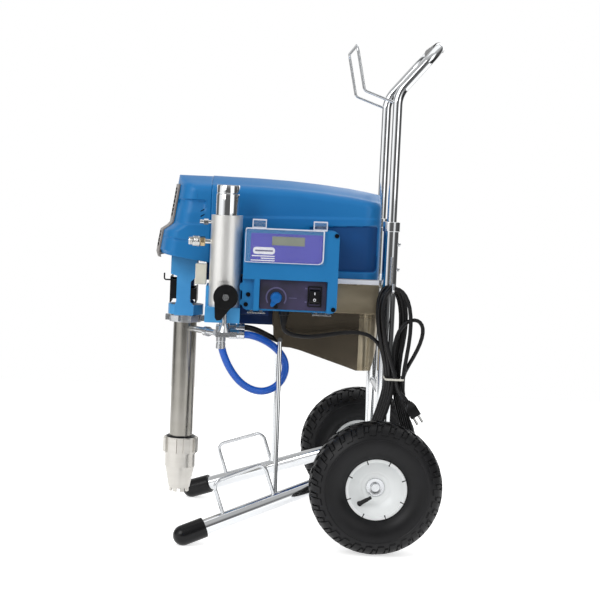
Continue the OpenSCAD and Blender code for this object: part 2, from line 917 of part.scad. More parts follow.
module hex_x(x1, x2, y, z, r) {
    translate([x1, y, z]) rotate([0, 90, 0]) cylinder(h = x2 - x1, r = r, $fn = 6);
}

module hose_fittings() {
    color("silver") {
        // Tee under the manifold, with a stub for each hose
        difference() {
            block([-330, -164, tee_z - 11], [-303, -112, tee_z + 11]);
            bar_y(-156, -100, -316, tee_z, 5);
        }
        hex_x(-303, -288, -150, 417, 10);
        bar_x(-288, -276, -150, 417, 7.5);
        hex_x(-303, -290, -124, 429, 8);
        bar_x(-290, -279, -124, 429, 5.5);
        // Pump outlet, from the cylinder's side to the tee
        difference() {
            rod([-392, -9, 412], [-331, -124, 416], 6.5);
            translate([pump_x, 0, 380]) cylinder(h = 60, r = cylinder_r);
            block([-330, -164, 400], [-303, -112, 440]);
        }
        rod([-352, -80, 413.5], [-346, -92, 414], 10);
        translate([-316, -140, tee_z + 11]) cylinder(h = 443 - tee_z - 11, r = 8);
        // Plug in the top of the column
        hex_x(-362, -353, column.y, 642, 6);
        bar_x(-370, -362, column.y, 642, 4);
        difference() {
            bar_x(-353, column.x - 25, column.y, 642, 3.5);
            column_room();
        }
    }
}

module drain_valve() {
    color("gainsboro") {
        translate([-311, -178, 426]) cylinder(h = 17, r = 8);
        translate([-313, -199.8, 426]) cylinder(h = 17, r1 = 13, r2 = 5.5);
        translate([-313, -199.8, 443]) cylinder(h = 45, r = 5);
        bar_y(-199, -178, -312, 434, 6);
        bar_y(valve.y, column.y - 28.5, valve.x, valve.z, 11);
        bar_y(valve.y - 23, valve.y, valve.x, valve.z, 6.5);
    }
}

module drain_handle() {
    color("#1c1c1e")
        difference() {
            union() {
                bar_y(valve.y - 18, valve.y - 0.4, valve.x, valve.z, 24.5);
                upright_plate(valve.y - 16, valve.y - 3)
                    polygon([[valve.x - 22, valve.z - 8], [-332, 455], [-328, 450], [-320, 451],
                             [valve.x + 12, valve.z - 20]]);
            }
            bar_y(valve.y - 40, valve.y + 10, valve.x, valve.z, 6.5 + fit);
        }
}

// ---------------------------------------------------------------- control box

module box_face(inset) {
    round_rect([box_x + inset, box_z + inset], [box_x + box_w - inset, box_z + box_h - inset],
               box_corner_r - inset);
}

module box_housing() {
    color("#2277bb")
        difference() {
            union() {
                upright_plate(box_front, box_back) box_face(0);
                upright_plate(box_front + 10, box_front + 21) {
                    translate([box_x + 3, 517]) circle(9);
                    translate([box_x + 1, 486]) circle(6);
                }
            }
            upright_plate(box_front + recess + 2 * box_wall, box_back + 1) box_face(box_wall);
            block([panel_x[0], box_front - 1, box_z - 1], [panel_x[1], box_front + recess, panel_z[1]]);
            block([box_x - 1, box_front - 1, box_z - 1], [-257, box_front + 10, 533]);
            block([-226, box_front - 1, 603], [-160, box_front + 30, 621]);
            block([-233, box_front + 2, 599], [-153, box_front + 30, 625]);
            bar_y(box_front, box_front + 30, -212, 498, 4);
            block([-147, box_front, 484], [-124, box_front + 30, 521]);
        }
}

module box_bracket() {
    color("#2277bb") {
        block([box_x + 5, box_back, box_z + 2], [box_x + box_w - 5, box_back + 2, box_z + box_h - 5]);
        block([-282, box_back + 2, 455], [-225, -78, 520]);
    }
}

module circuit_board() {
    color("#2e6b45") block([-250, -170, 545], [-130, -168.4, 625]);
    color("#8a8f5a") block([-232, -197, 600], [-154, -182, 624]);
    color("#2e6b45")
        for (x = [-228, -160], z = [602, 620])
            block([x, -182, z], [x + 3, -170, z + 3]);
}

module control_panel() {
    color("#5a53a8")
        difference() {
            block([-270, box_front - 1, 565], [-123, box_front, 627]);
            block([-226, box_front - 2, 603], [-160, box_front + 1, 621]);
        }
    color("#2b2a3a")
        difference() {
            block([panel_x[0] + 1, box_front + recess - 2, box_z + 4],
                  [panel_x[1] - 1, box_front + recess, panel_z[1] - 1]);
            bar_y(-200, -180, -212, 498, 4.5);
            block([-147, -200, 484], [-124, -180, 521]);
        }
    color("#1c1c1e") bar_y(box_front + recess - 8, box_front + recess - 2, -213, 481, 5);
}

module pressure_knob() {
    y = box_front + recess - 2;
    color("#1d63b0") {
        bar_y(y - 15, y - 0.5, -212, 498, 10.5);
        bar_y(y - 1, y + 12, -212, 498, 3.6);
    }
}

module power_switch() {
    y = box_front + recess - 2;
    color("#1c1c1e")
        intersection() {
            block([-145.5, y - 6, 486.5], [-125.5, y + 10, 518.5]);
            bar_x(-150, -120, y + 8, 502.5, 17);
        }
}

module box_screws() {
    color("#17171a") {
        for (p = [[-97, 626], [-98, 479]])
            bar_y(box_front - 3, box_front, p.x, p.y, 4.4);
        for (p = [[-268, 502], [-272, 482]])
            bar_y(box_front + 7, box_front + 10, p.x, p.y, 4.4);
    }
}

module cover_hinges() {
    color("#d8e4ee", 0.6)
        for (x = hinge_x)
            difference() {
                block([x - 14, -201, box_z + box_h], [x + 14, -186, 653]);
                block([x - 6.3, -206, 630], [x + 6.3, -189, 660]);
                bar_x(x - 20, x + 20, hinge_y, hinge_z, pin_r + fit);
            }
}

module display_cover() {
    color("#e4eef6", 0.5) {
        block([-278, -206, 567], [-121, -203.4, 636]);
        for (x = hinge_x) {
            difference() {
                union() {
                    bar_x(x - 5.5, x + 5.5, hinge_y, hinge_z, 5);
                    translate([x - 5.5, 0, 0])
                        rotate([90, 0, 90])
                            linear_extrude(11)
                                polygon([[-206, 636], [-203.4, 636], [-196, 640], [-200, 648], [-206, 640]]);
                }
                bar_x(x - 20, x + 20, hinge_y, hinge_z, pin_r);
            }
            bar_x(x - 13, x + 13, hinge_y, hinge_z, pin_r);
        }
    }
}

module cable_gland() {
    color("#1c1c1e") {
        translate([-194, -160, box_z - 10]) cylinder(h = 10, r = 11);
        translate([-194, -160, 441]) cylinder(h = 20, r1 = 5.8, r2 = 8.5);
    }
}

// ---------------------------------------------------------------- cords

module blue_hose() {
    path = smooth(blue_route, 2);
    color("#2a6fe0") skin(tube_rings(path, hose_d / 2, 12));
    echo(blue_hose_length = path_length(path));
}

module black_hose() {
    path = smooth(black_route, 1);
    color("#1c1c1e") skin(tube_rings(path, black_hose_d / 2, 10));
    echo(black_hose_length = path_length(path));
}

module mains_cable() {
    path = smooth(run_route, 1);
    tail = smooth(tail_route, 1);
    color("#1c1c1e") {
        skin(tube_rings(path, cable_r, 8));
        skin(tube_rings(tail, cable_r, 8));
    }
    echo(cable_run = path_length(path), cable_tail = path_length(tail));
}

// Point of the hank after so many degrees of winding, counted from the waist on its right side
function hank_point(w) =
    let (turn = floor(w / 360),
         a = w - 360 * turn,
         s = abs(sin(a)),
         up = a < 180,
         lobe = max(turn - 1, 0),
         climb = turn + (a < 210 ? 0 : a > 330 ? 1 : (a - 210) / 120),
         wide = up ? upper_wide[lobe] * s : lower_wide * s * s,
         lean = up ? upper_lean[lobe] * s : 0,
         rise = up ? upper_rise[lobe] : lower_drop)
    [hank.x + climb * hank_step.x + cos(a) * (waist_half + wide) + lean,
     hank.y + climb * hank_step.y,
     hank.z + rise * sin(a)];

function hank_path(rings) =
    [for (i = [0 : hank_turns * rings]) hank_point(180 + 360 * i / rings)];

// Least distance between parts of the winding that are at least a third of a turn apart
function least_gap(p, apart) =
    min([for (i = [0 : len(p) - 1 - apart], j = [i + apart : len(p) - 1]) norm(p[i] - p[j])]) - cable_d;

module cable_hank() {
    path = hank_path(loop_rings);
    color("#1c1c1e") skin(tube_rings(path, cable_r, 6));
    echo(hank_length = path_length(path), hank_gap = least_gap(hank_path(2 * loop_rings), loop_rings));
}

module mains_plug() {
    color("#1c1c1e")
        translate(plug)
            rotate([0, plug_tilt, 0]) {
                hull() {
                    translate([0, 0, 4]) cylinder(h = 8, r = 8, $fn = 32);
                    translate([-11, -12, 14]) cube([22, 24, 20]);
                }
                cylinder(h = 5, r = 6);
            }
    color("silver")
        translate(plug)
            rotate([0, plug_tilt, 0])
                for (p = [[-5, -6], [-5, 6], [6, 0]])
                    translate([p.x, p.y, 34]) cylinder(h = 17, r = 2.3);
}

module cable_tie() {
    low = [hank.x - 9.6, hank.y - 47];
    high = [hank.x + 27.3, hank.y + 4.6];
    color("gainsboro")
        translate([0, 0, hank.z - 2])
            linear_extrude(4)
                difference() {
                    round_rect(low - [1.5, 1.5], high + [1.5, 1.5], 7);
                    round_rect(low, high, 5.5);
                }
}

placed() side_tube();  // side_tube_near
placed() mirror([0, 1, 0]) side_tube();  // side_tube_far
placed() frame_braces();
placed() post_collars();
placed() foot_caps();
placed() leg_loops();
placed() axle();
placed() cord_hook();
placed() tray();
placed() tray_skirt();
placed() motor_shroud();
placed() front_cover();
placed() front_plate();
placed() gear_housing();
placed() pump_yoke();
placed() motor_case();
placed() jam_nut();
placed() pump_cylinder();
placed() pump_packings();
placed() intake_nut();
placed() intake_ball();
placed() inlet_strainer();
placed() rod_guards();
placed() filter_column();
placed() filter_cap();
placed() filter_element();
placed() manifold_block();
placed() sensor_block();
placed() hose_outlet();
placed() hose_fittings();
placed() drain_valve();
placed() box_housing();
placed() box_bracket();
placed() circuit_board();
placed() cover_hinges();
placed() control_panel();
placed() box_screws();
placed() cable_gland();
placed() blue_hose();
placed() black_hose();
placed() mains_cable();
placed() cable_hank();
placed() mains_plug();
placed() cable_tie();
placed() handle_bar();
placed() hose_hanger();
placed() handle_grip();
placed() motor_rotor();
placed() motor_fan();
placed() crank_gear();
placed() connecting_rod();
placed() piston_rod();
placed() drain_handle();
placed() pressure_knob();
placed() power_switch();
placed() display_cover();
placed() tyre();  // tyre_near
placed() mirror([0, 1, 0]) tyre();  // tyre_far
placed() rim();  // rim_near
placed() mirror([0, 1, 0]) rim();  // rim_far
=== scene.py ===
# %% [markdown]
# # An airless paint sprayer on its cart
# This lesson dresses a CAD model of a contractor's airless sprayer. The CAD gives every part
# its place, and Blender gives the parts their surfaces: chrome, painted castings, moulded
# plastic and rubber.

# %% Load the CAD frame
import json
import math
import bmesh
import bpy
from mathutils import Matrix, Vector

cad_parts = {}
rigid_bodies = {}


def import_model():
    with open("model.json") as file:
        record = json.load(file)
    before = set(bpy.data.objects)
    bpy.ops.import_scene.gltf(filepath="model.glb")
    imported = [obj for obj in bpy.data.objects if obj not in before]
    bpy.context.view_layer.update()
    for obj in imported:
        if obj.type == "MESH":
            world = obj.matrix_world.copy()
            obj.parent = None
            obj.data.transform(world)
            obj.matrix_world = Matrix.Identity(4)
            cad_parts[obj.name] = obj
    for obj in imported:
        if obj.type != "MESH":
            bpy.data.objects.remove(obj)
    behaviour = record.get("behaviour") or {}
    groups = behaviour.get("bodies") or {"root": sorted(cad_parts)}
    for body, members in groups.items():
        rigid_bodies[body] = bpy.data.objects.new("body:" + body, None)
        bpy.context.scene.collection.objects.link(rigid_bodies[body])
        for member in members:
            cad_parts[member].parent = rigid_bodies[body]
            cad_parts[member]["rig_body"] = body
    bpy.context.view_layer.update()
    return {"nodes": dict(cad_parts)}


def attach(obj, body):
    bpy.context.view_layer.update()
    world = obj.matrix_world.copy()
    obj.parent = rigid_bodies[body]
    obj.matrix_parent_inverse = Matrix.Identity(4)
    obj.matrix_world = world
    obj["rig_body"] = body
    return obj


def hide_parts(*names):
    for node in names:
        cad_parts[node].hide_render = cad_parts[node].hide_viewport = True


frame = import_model()
nodes = frame["nodes"]

# %% [markdown]
# ## Units
# Shop drawings are in millimetres, and the handiest origin on a cart is its axle. One function
# turns such a place into Blender's metres, in the CAD's own frame, which lies 166 mm away.

# %% Places in millimetres from the axle
AXLE_X = 166.0


def at(x, y, z):
    """A place in millimetres, measured from the axle and the floor, as Blender's metres."""
    return Vector(((x + AXLE_X) / 1000, y / 1000, z / 1000))


print("axle at", at(0, 0, 133))

# %% [markdown]
# ## Camera
# The sprayer is seen from its control side, a little from the front and from chest
# height. A long lens keeps the two wheels nearly the same size.

# %% Camera
LENS_MM = 91.36
CAMERA_PLACE = at(-273.47, -3213.5, 742.05)
YAW, PITCH, ROLL = 0.0361033, 0.0814324, 0.0450085

camera_data = bpy.data.cameras.new("camera")
camera_data.sensor_width = 36.0
camera_data.lens = LENS_MM
camera_data.clip_start = 0.05
camera = bpy.data.objects.new("camera", camera_data)
bpy.context.scene.collection.objects.link(camera)
look = Vector((math.sin(YAW) * math.cos(PITCH), math.cos(YAW) * math.cos(PITCH), -math.sin(PITCH)))
level_right = Vector((math.cos(YAW), -math.sin(YAW), 0))
level_up = level_right.cross(look)
right = math.cos(ROLL) * level_right + math.sin(ROLL) * level_up
up = -math.sin(ROLL) * level_right + math.cos(ROLL) * level_up
camera.matrix_world = Matrix.Translation(CAMERA_PLACE) @ Matrix((right, up, -look)).transposed().to_4x4()
bpy.context.scene.camera = camera
print("camera looks along", look)

# %% [markdown]
# ## One way to add a shader node
# A material is a small graph. This helper adds one node to it, sets its values and links its
# inputs, so that each material below reads as a list of steps. A second one turns the sRGB
# hex colours that paint charts use into the linear values that shaders need.

# %% Node and colour helpers


def linear(hex_colour):
    """#rrggbb in sRGB as a linear RGBA colour."""
    parts = [int(hex_colour[i:i + 2], 16) / 255 for i in (1, 3, 5)]
    return [p / 12.92 if p <= 0.04045 else ((p + 0.055) / 1.055) ** 2.4 for p in parts] + [1.0]


def add(tree, kind, values=None, links=None, **settings):
    """Adds a node: its settings, its inputs' values, and links from other nodes' outputs."""
    node = tree.nodes.new(kind)
    for key, value in settings.items():
        setattr(node, key, value)
    for key, value in (values or {}).items():
        node.inputs[key].default_value = value
    for key, socket in (links or {}).items():
        tree.links.new(socket, node.inputs[key])
    return node


def blank_material(name):
    """A material with an empty graph. Returns it with its tree."""
    material = bpy.data.materials.new(name)
    material.use_nodes = True
    material.node_tree.nodes.clear()
    return material, material.node_tree


print("helpers ready")

# %% [markdown]
# ## Colour that varies, and a surface that isn't quite flat
# Nearly every finish here needs the same two things: a cloudy change between two near colours,
# and a fine unevenness in gloss and height. Feature sizes are given in millimetres, because
# a noise texture's scale is how many features fit in a metre. Stretching the coordinates draws
# the features out into lines, as a lathe tool or a polishing belt leaves them.

# %% Cloudiness and grain


def surface(name, dark, light, rough, cloud_mm, grain_mm, bump_mm, stretch=(1, 1, 1), **values):
    """A finish between two hex colours, with cloudy gloss and a grain of real size."""
    material, tree = blank_material(name)
    shader = add(tree, "ShaderNodeBsdfPrincipled", values)
    add(tree, "ShaderNodeOutputMaterial", links={"Surface": shader.outputs[0]})
    place = add(tree, "ShaderNodeTexCoord").outputs["Object"]
    drawn = add(tree, "ShaderNodeMapping", {"Scale": stretch}, {"Vector": place}).outputs[0]
    cloud = add(tree, "ShaderNodeTexNoise", {"Scale": 1000 / cloud_mm, "Detail": 3.0}, {"Vector": drawn})
    shade = add(tree, "ShaderNodeValToRGB", links={"Fac": cloud.outputs["Fac"]})
    first, last = shade.color_ramp.elements
    first.position, first.color = 0.32, linear(dark)
    last.position, last.color = 0.68, linear(light)
    tree.links.new(shade.outputs["Color"], shader.inputs["Base Color"])
    gloss = add(tree, "ShaderNodeMapRange", {"To Min": rough[0], "To Max": rough[1]},
                {"Value": cloud.outputs["Fac"]})
    tree.links.new(gloss.outputs["Result"], shader.inputs["Roughness"])
    grain = add(tree, "ShaderNodeTexNoise", {"Scale": 1000 / grain_mm, "Detail": 2.0}, {"Vector": drawn})
    bump = add(tree, "ShaderNodeBump", {"Distance": bump_mm / 1000, "Strength": 0.5},
               {"Height": grain.outputs["Fac"]})
    tree.links.new(bump.outputs["Normal"], shader.inputs["Normal"])
    return material


print("surface helper ready")

# %% [markdown]
# ## Shapes as points and faces
# Most parts of a machine are one of three kinds. A loft is a skin through rings of points, a
# lathe turns a profile round an axis, and a prism pushes an outline along an axis. Each helper
# returns points and faces, so that several shapes can be joined into one piece.

# %% Loft, lathe and prism


def loft(rings, caps=True, wrap=True, around=False):
    """A skin through rings of equal length. wrap closes each ring, around joins last to first."""
    n = len(rings[0])
    points = [point for ring in rings for point in ring]
    pairs = [(i, (i + 1) % len(rings)) for i in range(len(rings) if around else len(rings) - 1)]
    faces = []
    for i, j in pairs:
        for k in range(n if wrap else n - 1):
            m = (k + 1) % n
            faces.append((i * n + k, i * n + m, j * n + m, j * n + k))
    if caps and not around:
        faces.append(tuple(range(n)))
        faces.append(tuple(range(len(points) - n, len(points))))
    return points, faces


def lathe(profile, origin, along, steps=64, closed=False):
    """A profile of (radius, distance along) pairs turned round an axis."""
    axis = Vector(along).normalized()
    across = axis.orthogonal().normalized()
    other = axis.cross(across)
    turns = [2 * math.pi * (k + 0.5) / steps for k in range(steps)]
    spokes = [math.cos(a) * across + math.sin(a) * other for a in turns]
    rings = [[Vector(origin) + distance * axis + radius * spoke for spoke in spokes]
             for radius, distance in profile]
    return loft(rings, caps=not closed, around=closed)


# How an outline's two coordinates and the distance of the push become x, y and z
PUSH = {"x": lambda u, v, w: (w, u, v), "y": lambda u, v, w: (u, w, v), "z": lambda u, v, w: (u, v, w)}


def prism(outline, axis, low, high):
    """An outline pushed along the x, y or z axis from low to high."""
    return loft([[PUSH[axis](u, v, w) for u, v in outline] for w in (low, high)])


def joined(*shapes):
    """Several shapes as one list of points and faces."""
    points, faces = [], []
    for more_points, more_faces in shapes:
        first = len(points)
        points += more_points
        faces += [[first + i for i in face] for face in more_faces]
    return points, faces


def rounded(corners, radius, steps=6):
    """An outline whose corners are turned into arcs. A corner may carry its own radius."""
    out = []
    for i, corner in enumerate(corners):
        here = Vector(corner[:2])
        back = Vector(corners[i - 1][:2]) - here
        ahead = Vector(corners[(i + 1) % len(corners)][:2]) - here
        wanted = corner[2] if len(corner) > 2 else radius
        cut = min(wanted / math.tan(back.angle(ahead) / 2), 0.49 * min(back.length, ahead.length))
        start, end = here + cut * back.normalized(), here + cut * ahead.normalized()
        for k in range(steps + 1):
            t = k / steps
            out.append(tuple((1 - t) ** 2 * start + 2 * t * (1 - t) * here + t * t * end))
    return out


def oblong(x1, x2, z1, z2, radius):
    """A rectangle with round corners."""
    return rounded([(x1, z1), (x2, z1), (x2, z2), (x1, z2)], radius)


def hoop(outer, inner, axis, low, high):
    """A flat frame between two outlines with the same number of points."""
    corners = ((outer, low), (outer, high), (inner, high), (inner, low))
    return loft([[PUSH[axis](u, v, w) for u, v in line] for line, w in corners], around=True)


def circle(x, z, radius, steps=20):
    """A round outline."""
    turns = [2 * math.pi * k / steps for k in range(steps)]
    return [(x + radius * math.cos(a), z + radius * math.sin(a)) for a in turns]


print("shape helpers ready")

# %% [markdown]
# ## From a shape to a piece
# A piece is a mesh with smooth shading, crisp where its faces meet at more than 32 degrees.
# A Bevel modifier rounds those edges a little, because no real edge is sharp and the rounding
# catches the light. The piece then rides on its body and may stand for a CAD node.

# %% Piece helpers
CRISP = 32.0


def settle(piece, material, body, replaces=()):
    """Gives a piece its material and body, and hides the CAD nodes that it stands for."""
    piece.data.materials.clear()
    piece.data.materials.append(material)
    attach(piece, body)
    if replaces:
        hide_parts(*replaces)
    return piece


def piece_in_metres(name, points, faces, material, body, replaces=(), bevel_mm=0.0, crisp=CRISP):
    """A piece from points in Blender's metres and faces."""
    mesh = bpy.data.meshes.new(name)
    mesh.from_pydata([tuple(p) for p in points], [], [tuple(f) for f in faces])
    shape = bmesh.new()
    shape.from_mesh(mesh)
    bmesh.ops.remove_doubles(shape, verts=shape.verts, dist=1e-6)
    bmesh.ops.recalc_face_normals(shape, faces=shape.faces)
    shape.to_mesh(mesh)
    shape.free()
    mesh.polygons.foreach_set("use_smooth", [True] * len(mesh.polygons))
    mesh.set_sharp_from_angle(angle=math.radians(crisp))
    piece = bpy.data.objects.new(name, mesh)
    bpy.context.scene.collection.objects.link(piece)
    if bevel_mm:
        bevel = piece.modifiers.new("edge", "BEVEL")
        bevel.width = bevel_mm / 1000
        bevel.segments = 2
        bevel.limit_method = "ANGLE"
        bevel.angle_limit = math.radians(crisp)
        bevel.harden_normals = True
    return settle(piece, material, body, replaces)


def build(name, shape, material, body, replaces=(), bevel_mm=0.0, crisp=CRISP):
    """A piece from a shape in millimetres about the axle."""
    points, faces = shape
    places = [at(*p) for p in points]
    return piece_in_metres(name, places, faces, material, body, replaces, bevel_mm, crisp)


def refine(node, material, bevel_mm=0.5, crisp=CRISP):
    """A copy of a CAD node with its flat faces joined and its edges rounded, shown in its place."""
    shape = bmesh.new()
    shape.from_mesh(nodes[node].data)
    bmesh.ops.remove_doubles(shape, verts=shape.verts, dist=2e-6)
    bmesh.ops.dissolve_limit(shape, angle_limit=math.radians(0.5), verts=shape.verts, edges=shape.edges)
    shape.verts.index_update()
    points = [vert.co.copy() for vert in shape.verts]
    faces = [[vert.index for vert in face.verts] for face in shape.faces]
    shape.free()
    return piece_in_metres(node + "_piece", points, faces, material, nodes[node]["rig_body"], (node,),
                           bevel_mm, crisp)


def repaint(piece, material, inside):
    """Gives a second material to the faces whose middle, in millimetres, passes a test."""
    piece.data.materials.append(material)
    last = len(piece.data.materials) - 1
    for polygon in piece.data.polygons:
        x, y, z = polygon.center
        if inside(1000 * x - AXLE_X, 1000 * y, 1000 * z):
            polygon.material_index = last


print("piece helpers ready")

# %% [markdown]
# ## Cords
# Three cords hang on the sprayer: the blue hose that loops under the box, a short black hose
# to the motor housing, and the mains cable. The cable leaves the control box, is wound over the
# hook on the post, tied, and ends in its plug. Each one is a smooth curve with a round bevel.
# Points placed one by one are never quite even, so each line is first evened out, as a stiff cord
# evens out its own bends.

# %% Cord helpers


def spline(points, steps):
    """A Catmull-Rom curve through points, as the CAD draws it."""
    out = []
    for i in range(len(points) - 1):
        a, b = Vector(points[max(i - 1, 0)]), Vector(points[i])
        c, d = Vector(points[i + 1]), Vector(points[min(i + 2, len(points) - 1)])
        for k in range(steps):
            t = k / steps
            out.append(0.5 * (2 * b + (c - a) * t + (2 * a - 5 * b + 4 * c - d) * t * t
                              + (3 * b - a - 3 * c + d) * t ** 3))
    return out + [Vector(points[-1])]


def eased(line, rounds=12):
    """The line with its bends evened out. The first and last two points stay."""
    line = [point.copy() for point in line]
    for _ in range(rounds):
        middle = [(a + 2 * b + c) / 4 for a, b, c in zip(line[1:], line[2:], line[3:])]
        line[2:-2] = middle[:len(line) - 4]
    return line


def tube(name, points, radius_mm, material, body, replaces=()):
    """A round cord or wire: a poly curve with a bevel, along points in millimetres."""
    curve = bpy.data.curves.new(name, "CURVE")
    curve.dimensions = "3D"
    curve.bevel_depth = radius_mm / 1000
    curve.bevel_resolution = 5
    curve.use_fill_caps = True
    line = curve.splines.new("POLY")
    line.points.add(len(points) - 1)
    for point, place_mm in zip(line.points, points):
        point.co = (*at(*place_mm), 1.0)
    line.use_smooth = True
    cord = bpy.data.objects.new(name, curve)
    bpy.context.scene.collection.objects.link(cord)
    return settle(cord, material, body, replaces)


def length_m(points):
    """Length of a line of points, in metres."""
    return sum(math.dist(a, b) for a, b in zip(points, points[1:])) / 1000


print("cord helpers ready")

# %% [markdown]
# ## Hose and cable materials
# The blue hose is nylon tube in a polyurethane jacket, which is smooth and a little waxy, with
# ripples 3 mm long. The mains cable is sheathed in black PVC: a soft gloss with a faint grain
# 0.7 mm wide. Black rubber reflects less than plastic does, so its specular level is lower.

# %% Hose and cable materials
hose_blue = surface("blue_polyurethane_hose", "#0a55be", "#125fc8", (0.24, 0.34), 60, 3, 0.01)
MATT = {"Specular IOR Level": 0.28}
rubber = surface("black_pvc_and_rubber", "#08080a", "#0e0e10", (0.34, 0.46), 20, 0.7, 0.02, **MATT)
# Nylon without pigment is milky with a soft sheen. Its grain of 1 mm comes from the mould.
tie_nylon = surface("natural_nylon", "#d6d4c9", "#e2dfd4", (0.4, 0.55), 15, 1.0, 0.02)
# Turning leaves rings half a millimetre apart, drawn at 1.4 mm to show as soft streaks.
steel = surface("turned_steel", "#bdbdbb", "#c9c9c7", (0.2, 0.26), 20, 1.4, 0.004, (0.3, 0.3, 4),
                Metallic=1.0)
print("cord materials ready")

# %% Blue and black hoses
BLUE_ROUTE = [(-319, -150, 411), (-319, -150, 406), (-319, -150, 401), (-316, -150, 385), (-309, -148, 366),
              (-298, -144, 344), (-279, -136, 319), (-256, -126, 303), (-231, -118, 297), (-207, -115, 305),
              (-190, -111, 323), (-184, -109, 345), (-188, -108, 366), (-203, -112, 385), (-222, -124, 400),
              (-243, -141, 411), (-258, -149, 416), (-266, -150, 417), (-271, -150, 417), (-276, -150, 417)]
BLACK_ROUTE = [(-279, -124, 429), (-274, -124, 429), (-269, -124, 429), (-257, -121, 427),
               (-240, -113, 421), (-222, -105, 411), (-203, -97, 403), (-180, -90, 399),
               (-158, -83, 407), (-140, -77, 430), (-133, -75, 460), (-131, -74, 495), (-131, -74, 530)]
blue_line = eased(spline(BLUE_ROUTE, 5))
blue_hose = tube("blue_hose_cord", blue_line, 7.5, hose_blue, "cart", ("blue_hose",))
black_line = eased(spline(BLACK_ROUTE, 5))
black_hose = tube("black_hose_cord", black_line, 6, rubber, "cart", ("black_hose",))
print("hoses", length_m(blue_line), length_m(black_line))

# %% The wound cable
RUN_ROUTE = [(-194, -160, 441), (-194, -160, 436), (-192, -160, 430), (-182, -160, 424), (-160, -159, 419),
             (-130, -158, 420), (-100, -156, 425), (-70, -154, 430), (-45, -152, 431), (-22, -151, 427),
             (-4, -150.5, 414), (9, -149, 395), (15, -148, 375), (18.5, -147, 356), (19, -147, 343)]
TAIL_ROUTE = [(36.5, -189.5, 343), (37, -192, 334), (40, -198, 323), (46, -204, 315), (53.5, -207, 308.6),
              (58, -207, 302)]
HANK = (24, -147, 343)
HANK_STEP = (3.5, -8.5)
WAIST_HALF = 5
UPPER_RISE = (186, 184, 187, 122, 185)
UPPER_LEAN = (-13, -9, -14, 30, -16)
UPPER_WIDE = (42, 50, 38, 46, 52)
LOWER_DROP, LOWER_WIDE = 165, 90
TURNS, RINGS = 5, 48


def hank_point(wound):
    """Place on the hank after so many degrees of winding."""
    turn = int(wound // 360)
    a = wound - 360 * turn
    s = abs(math.sin(math.radians(a)))
    upper = a < 180
    lobe = max(turn - 1, 0)
    climb = turn + (0 if a < 210 else 1 if a > 330 else (a - 210) / 120)
    wide = UPPER_WIDE[lobe] * s if upper else LOWER_WIDE * s * s
    lean = UPPER_LEAN[lobe] * s if upper else 0
    rise = UPPER_RISE[lobe] if upper else LOWER_DROP
    return Vector((HANK[0] + climb * HANK_STEP[0] + math.cos(math.radians(a)) * (WAIST_HALF + wide) + lean,
                   HANK[1] + climb * HANK_STEP[1],
                   HANK[2] + rise * math.sin(math.radians(a))))


hank_line = [hank_point(min(180 + 360 * i / RINGS, 1979.999)) for i in range(TURNS * RINGS + 1)]
cable_line = eased(spline(RUN_ROUTE, 4)[:-1] + hank_line + spline(TAIL_ROUTE, 4)[1:], 3)
cable = tube("mains_cable_cord", cable_line, 4, rubber, "cart",
             ("mains_cable", "cable_hank"))
print("mains cable", length_m(cable_line))

# %% [markdown]
# ## Plug, tie and gland
# The plug is moulded rubber with three nickelled pins, a nylon tie holds the waist of the hank,
# and a ribbed cone keeps the cable from kinking where it leaves the box.

# %% Plug, tie and gland
PLUG = Vector((58, -207, 302))
PLUG_TILT = math.radians(146)
plug_axis = Vector((math.sin(PLUG_TILT), 0, math.cos(PLUG_TILT)))
PINS_FROM = 34.5
plug_piece = refine("mains_plug", rubber, 1.0)
repaint(plug_piece, steel, lambda x, y, z: (Vector((x, y, z)) - PLUG).dot(plug_axis) > PINS_FROM)
tie_piece = refine("cable_tie", tie_nylon, 0.3)
GLAND = (-194, -160, 441)
gland_profile = [(4.1, 0), (5.6, 0), (5.8, 1.5)]
for rib in range(5):
    low = 2.2 + 3.4 * rib
    wide = 5.9 + 0.5 * rib
    gland_profile += [(wide, low), (wide + 0.9, low + 0.5), (wide + 0.9, low + 1.9),
                      (wide + 0.1, low + 2.4)]
gland_profile += [(8.4, 19.6), (10.2, 20), (11, 20.8), (11, 29.2), (10.2, 30), (4.1, 30)]
build("cable_gland_piece", lathe(gland_profile, GLAND, (0, 0, 1), 48, closed=True), rubber, "cart",
      ("cable_gland",))
print("plug, tie and gland ready")

# %% [markdown]
# ## Metals
# Chromium plate is a mirror with a faint blue cast, and only polishing marks 30 mm long break it
# up. Zinc plate is milkier. Turned steel carries rings from the lathe, about half a millimetre
# apart, and drawn here at 1.4 mm so that they show. The honed cylinder is darker, because fine
# crossing scratches trap the light. Anodised aluminium is the softest of them: its surface is
# etched, and the clear oxide on it is milky, which a metallic value below one stands for.

# %% Metals
# Nearly a mirror: the polishing marks, 30 mm long, only make its edges waver.
chrome = surface("chromium_plate", "#dcdee0", "#e4e6e8", (0.05, 0.09), 150, 30, 0.004, Metallic=1.0)
# The crystals of the zinc scatter a little light, in patches of 6 mm, so it looks milky.
zinc = surface("bright_zinc_plate", "#c6c8cb", "#d2d4d6", (0.2, 0.28), 40, 6, 0.006, Metallic=1.0)
honed = surface("honed_steel", "#99968f", "#a09d97", (0.22, 0.26), 60, 6, 0.002, (0.25, 0.25, 2),
                Metallic=1.0)
turned = surface("turned_stainless", "#c3c0ba", "#cbc8c2", (0.26, 0.32), 40, 1.4, 0.003, (0.3, 0.3, 3),
                 Metallic=1.0)
anodised = surface("clear_anodised_aluminium", "#e6e5e2", "#ebeae7", (0.36, 0.42), 60, 0.9, 0.003,
                   Metallic=0.72)
# The sheet's brown is a painted reflection of what the mirror faces.
rolled = surface("mirror_stainless_painted_brown_reflection", "#857b6c", "#978b79", (0.14, 0.2), 200, 170, 4, Metallic=1.0)
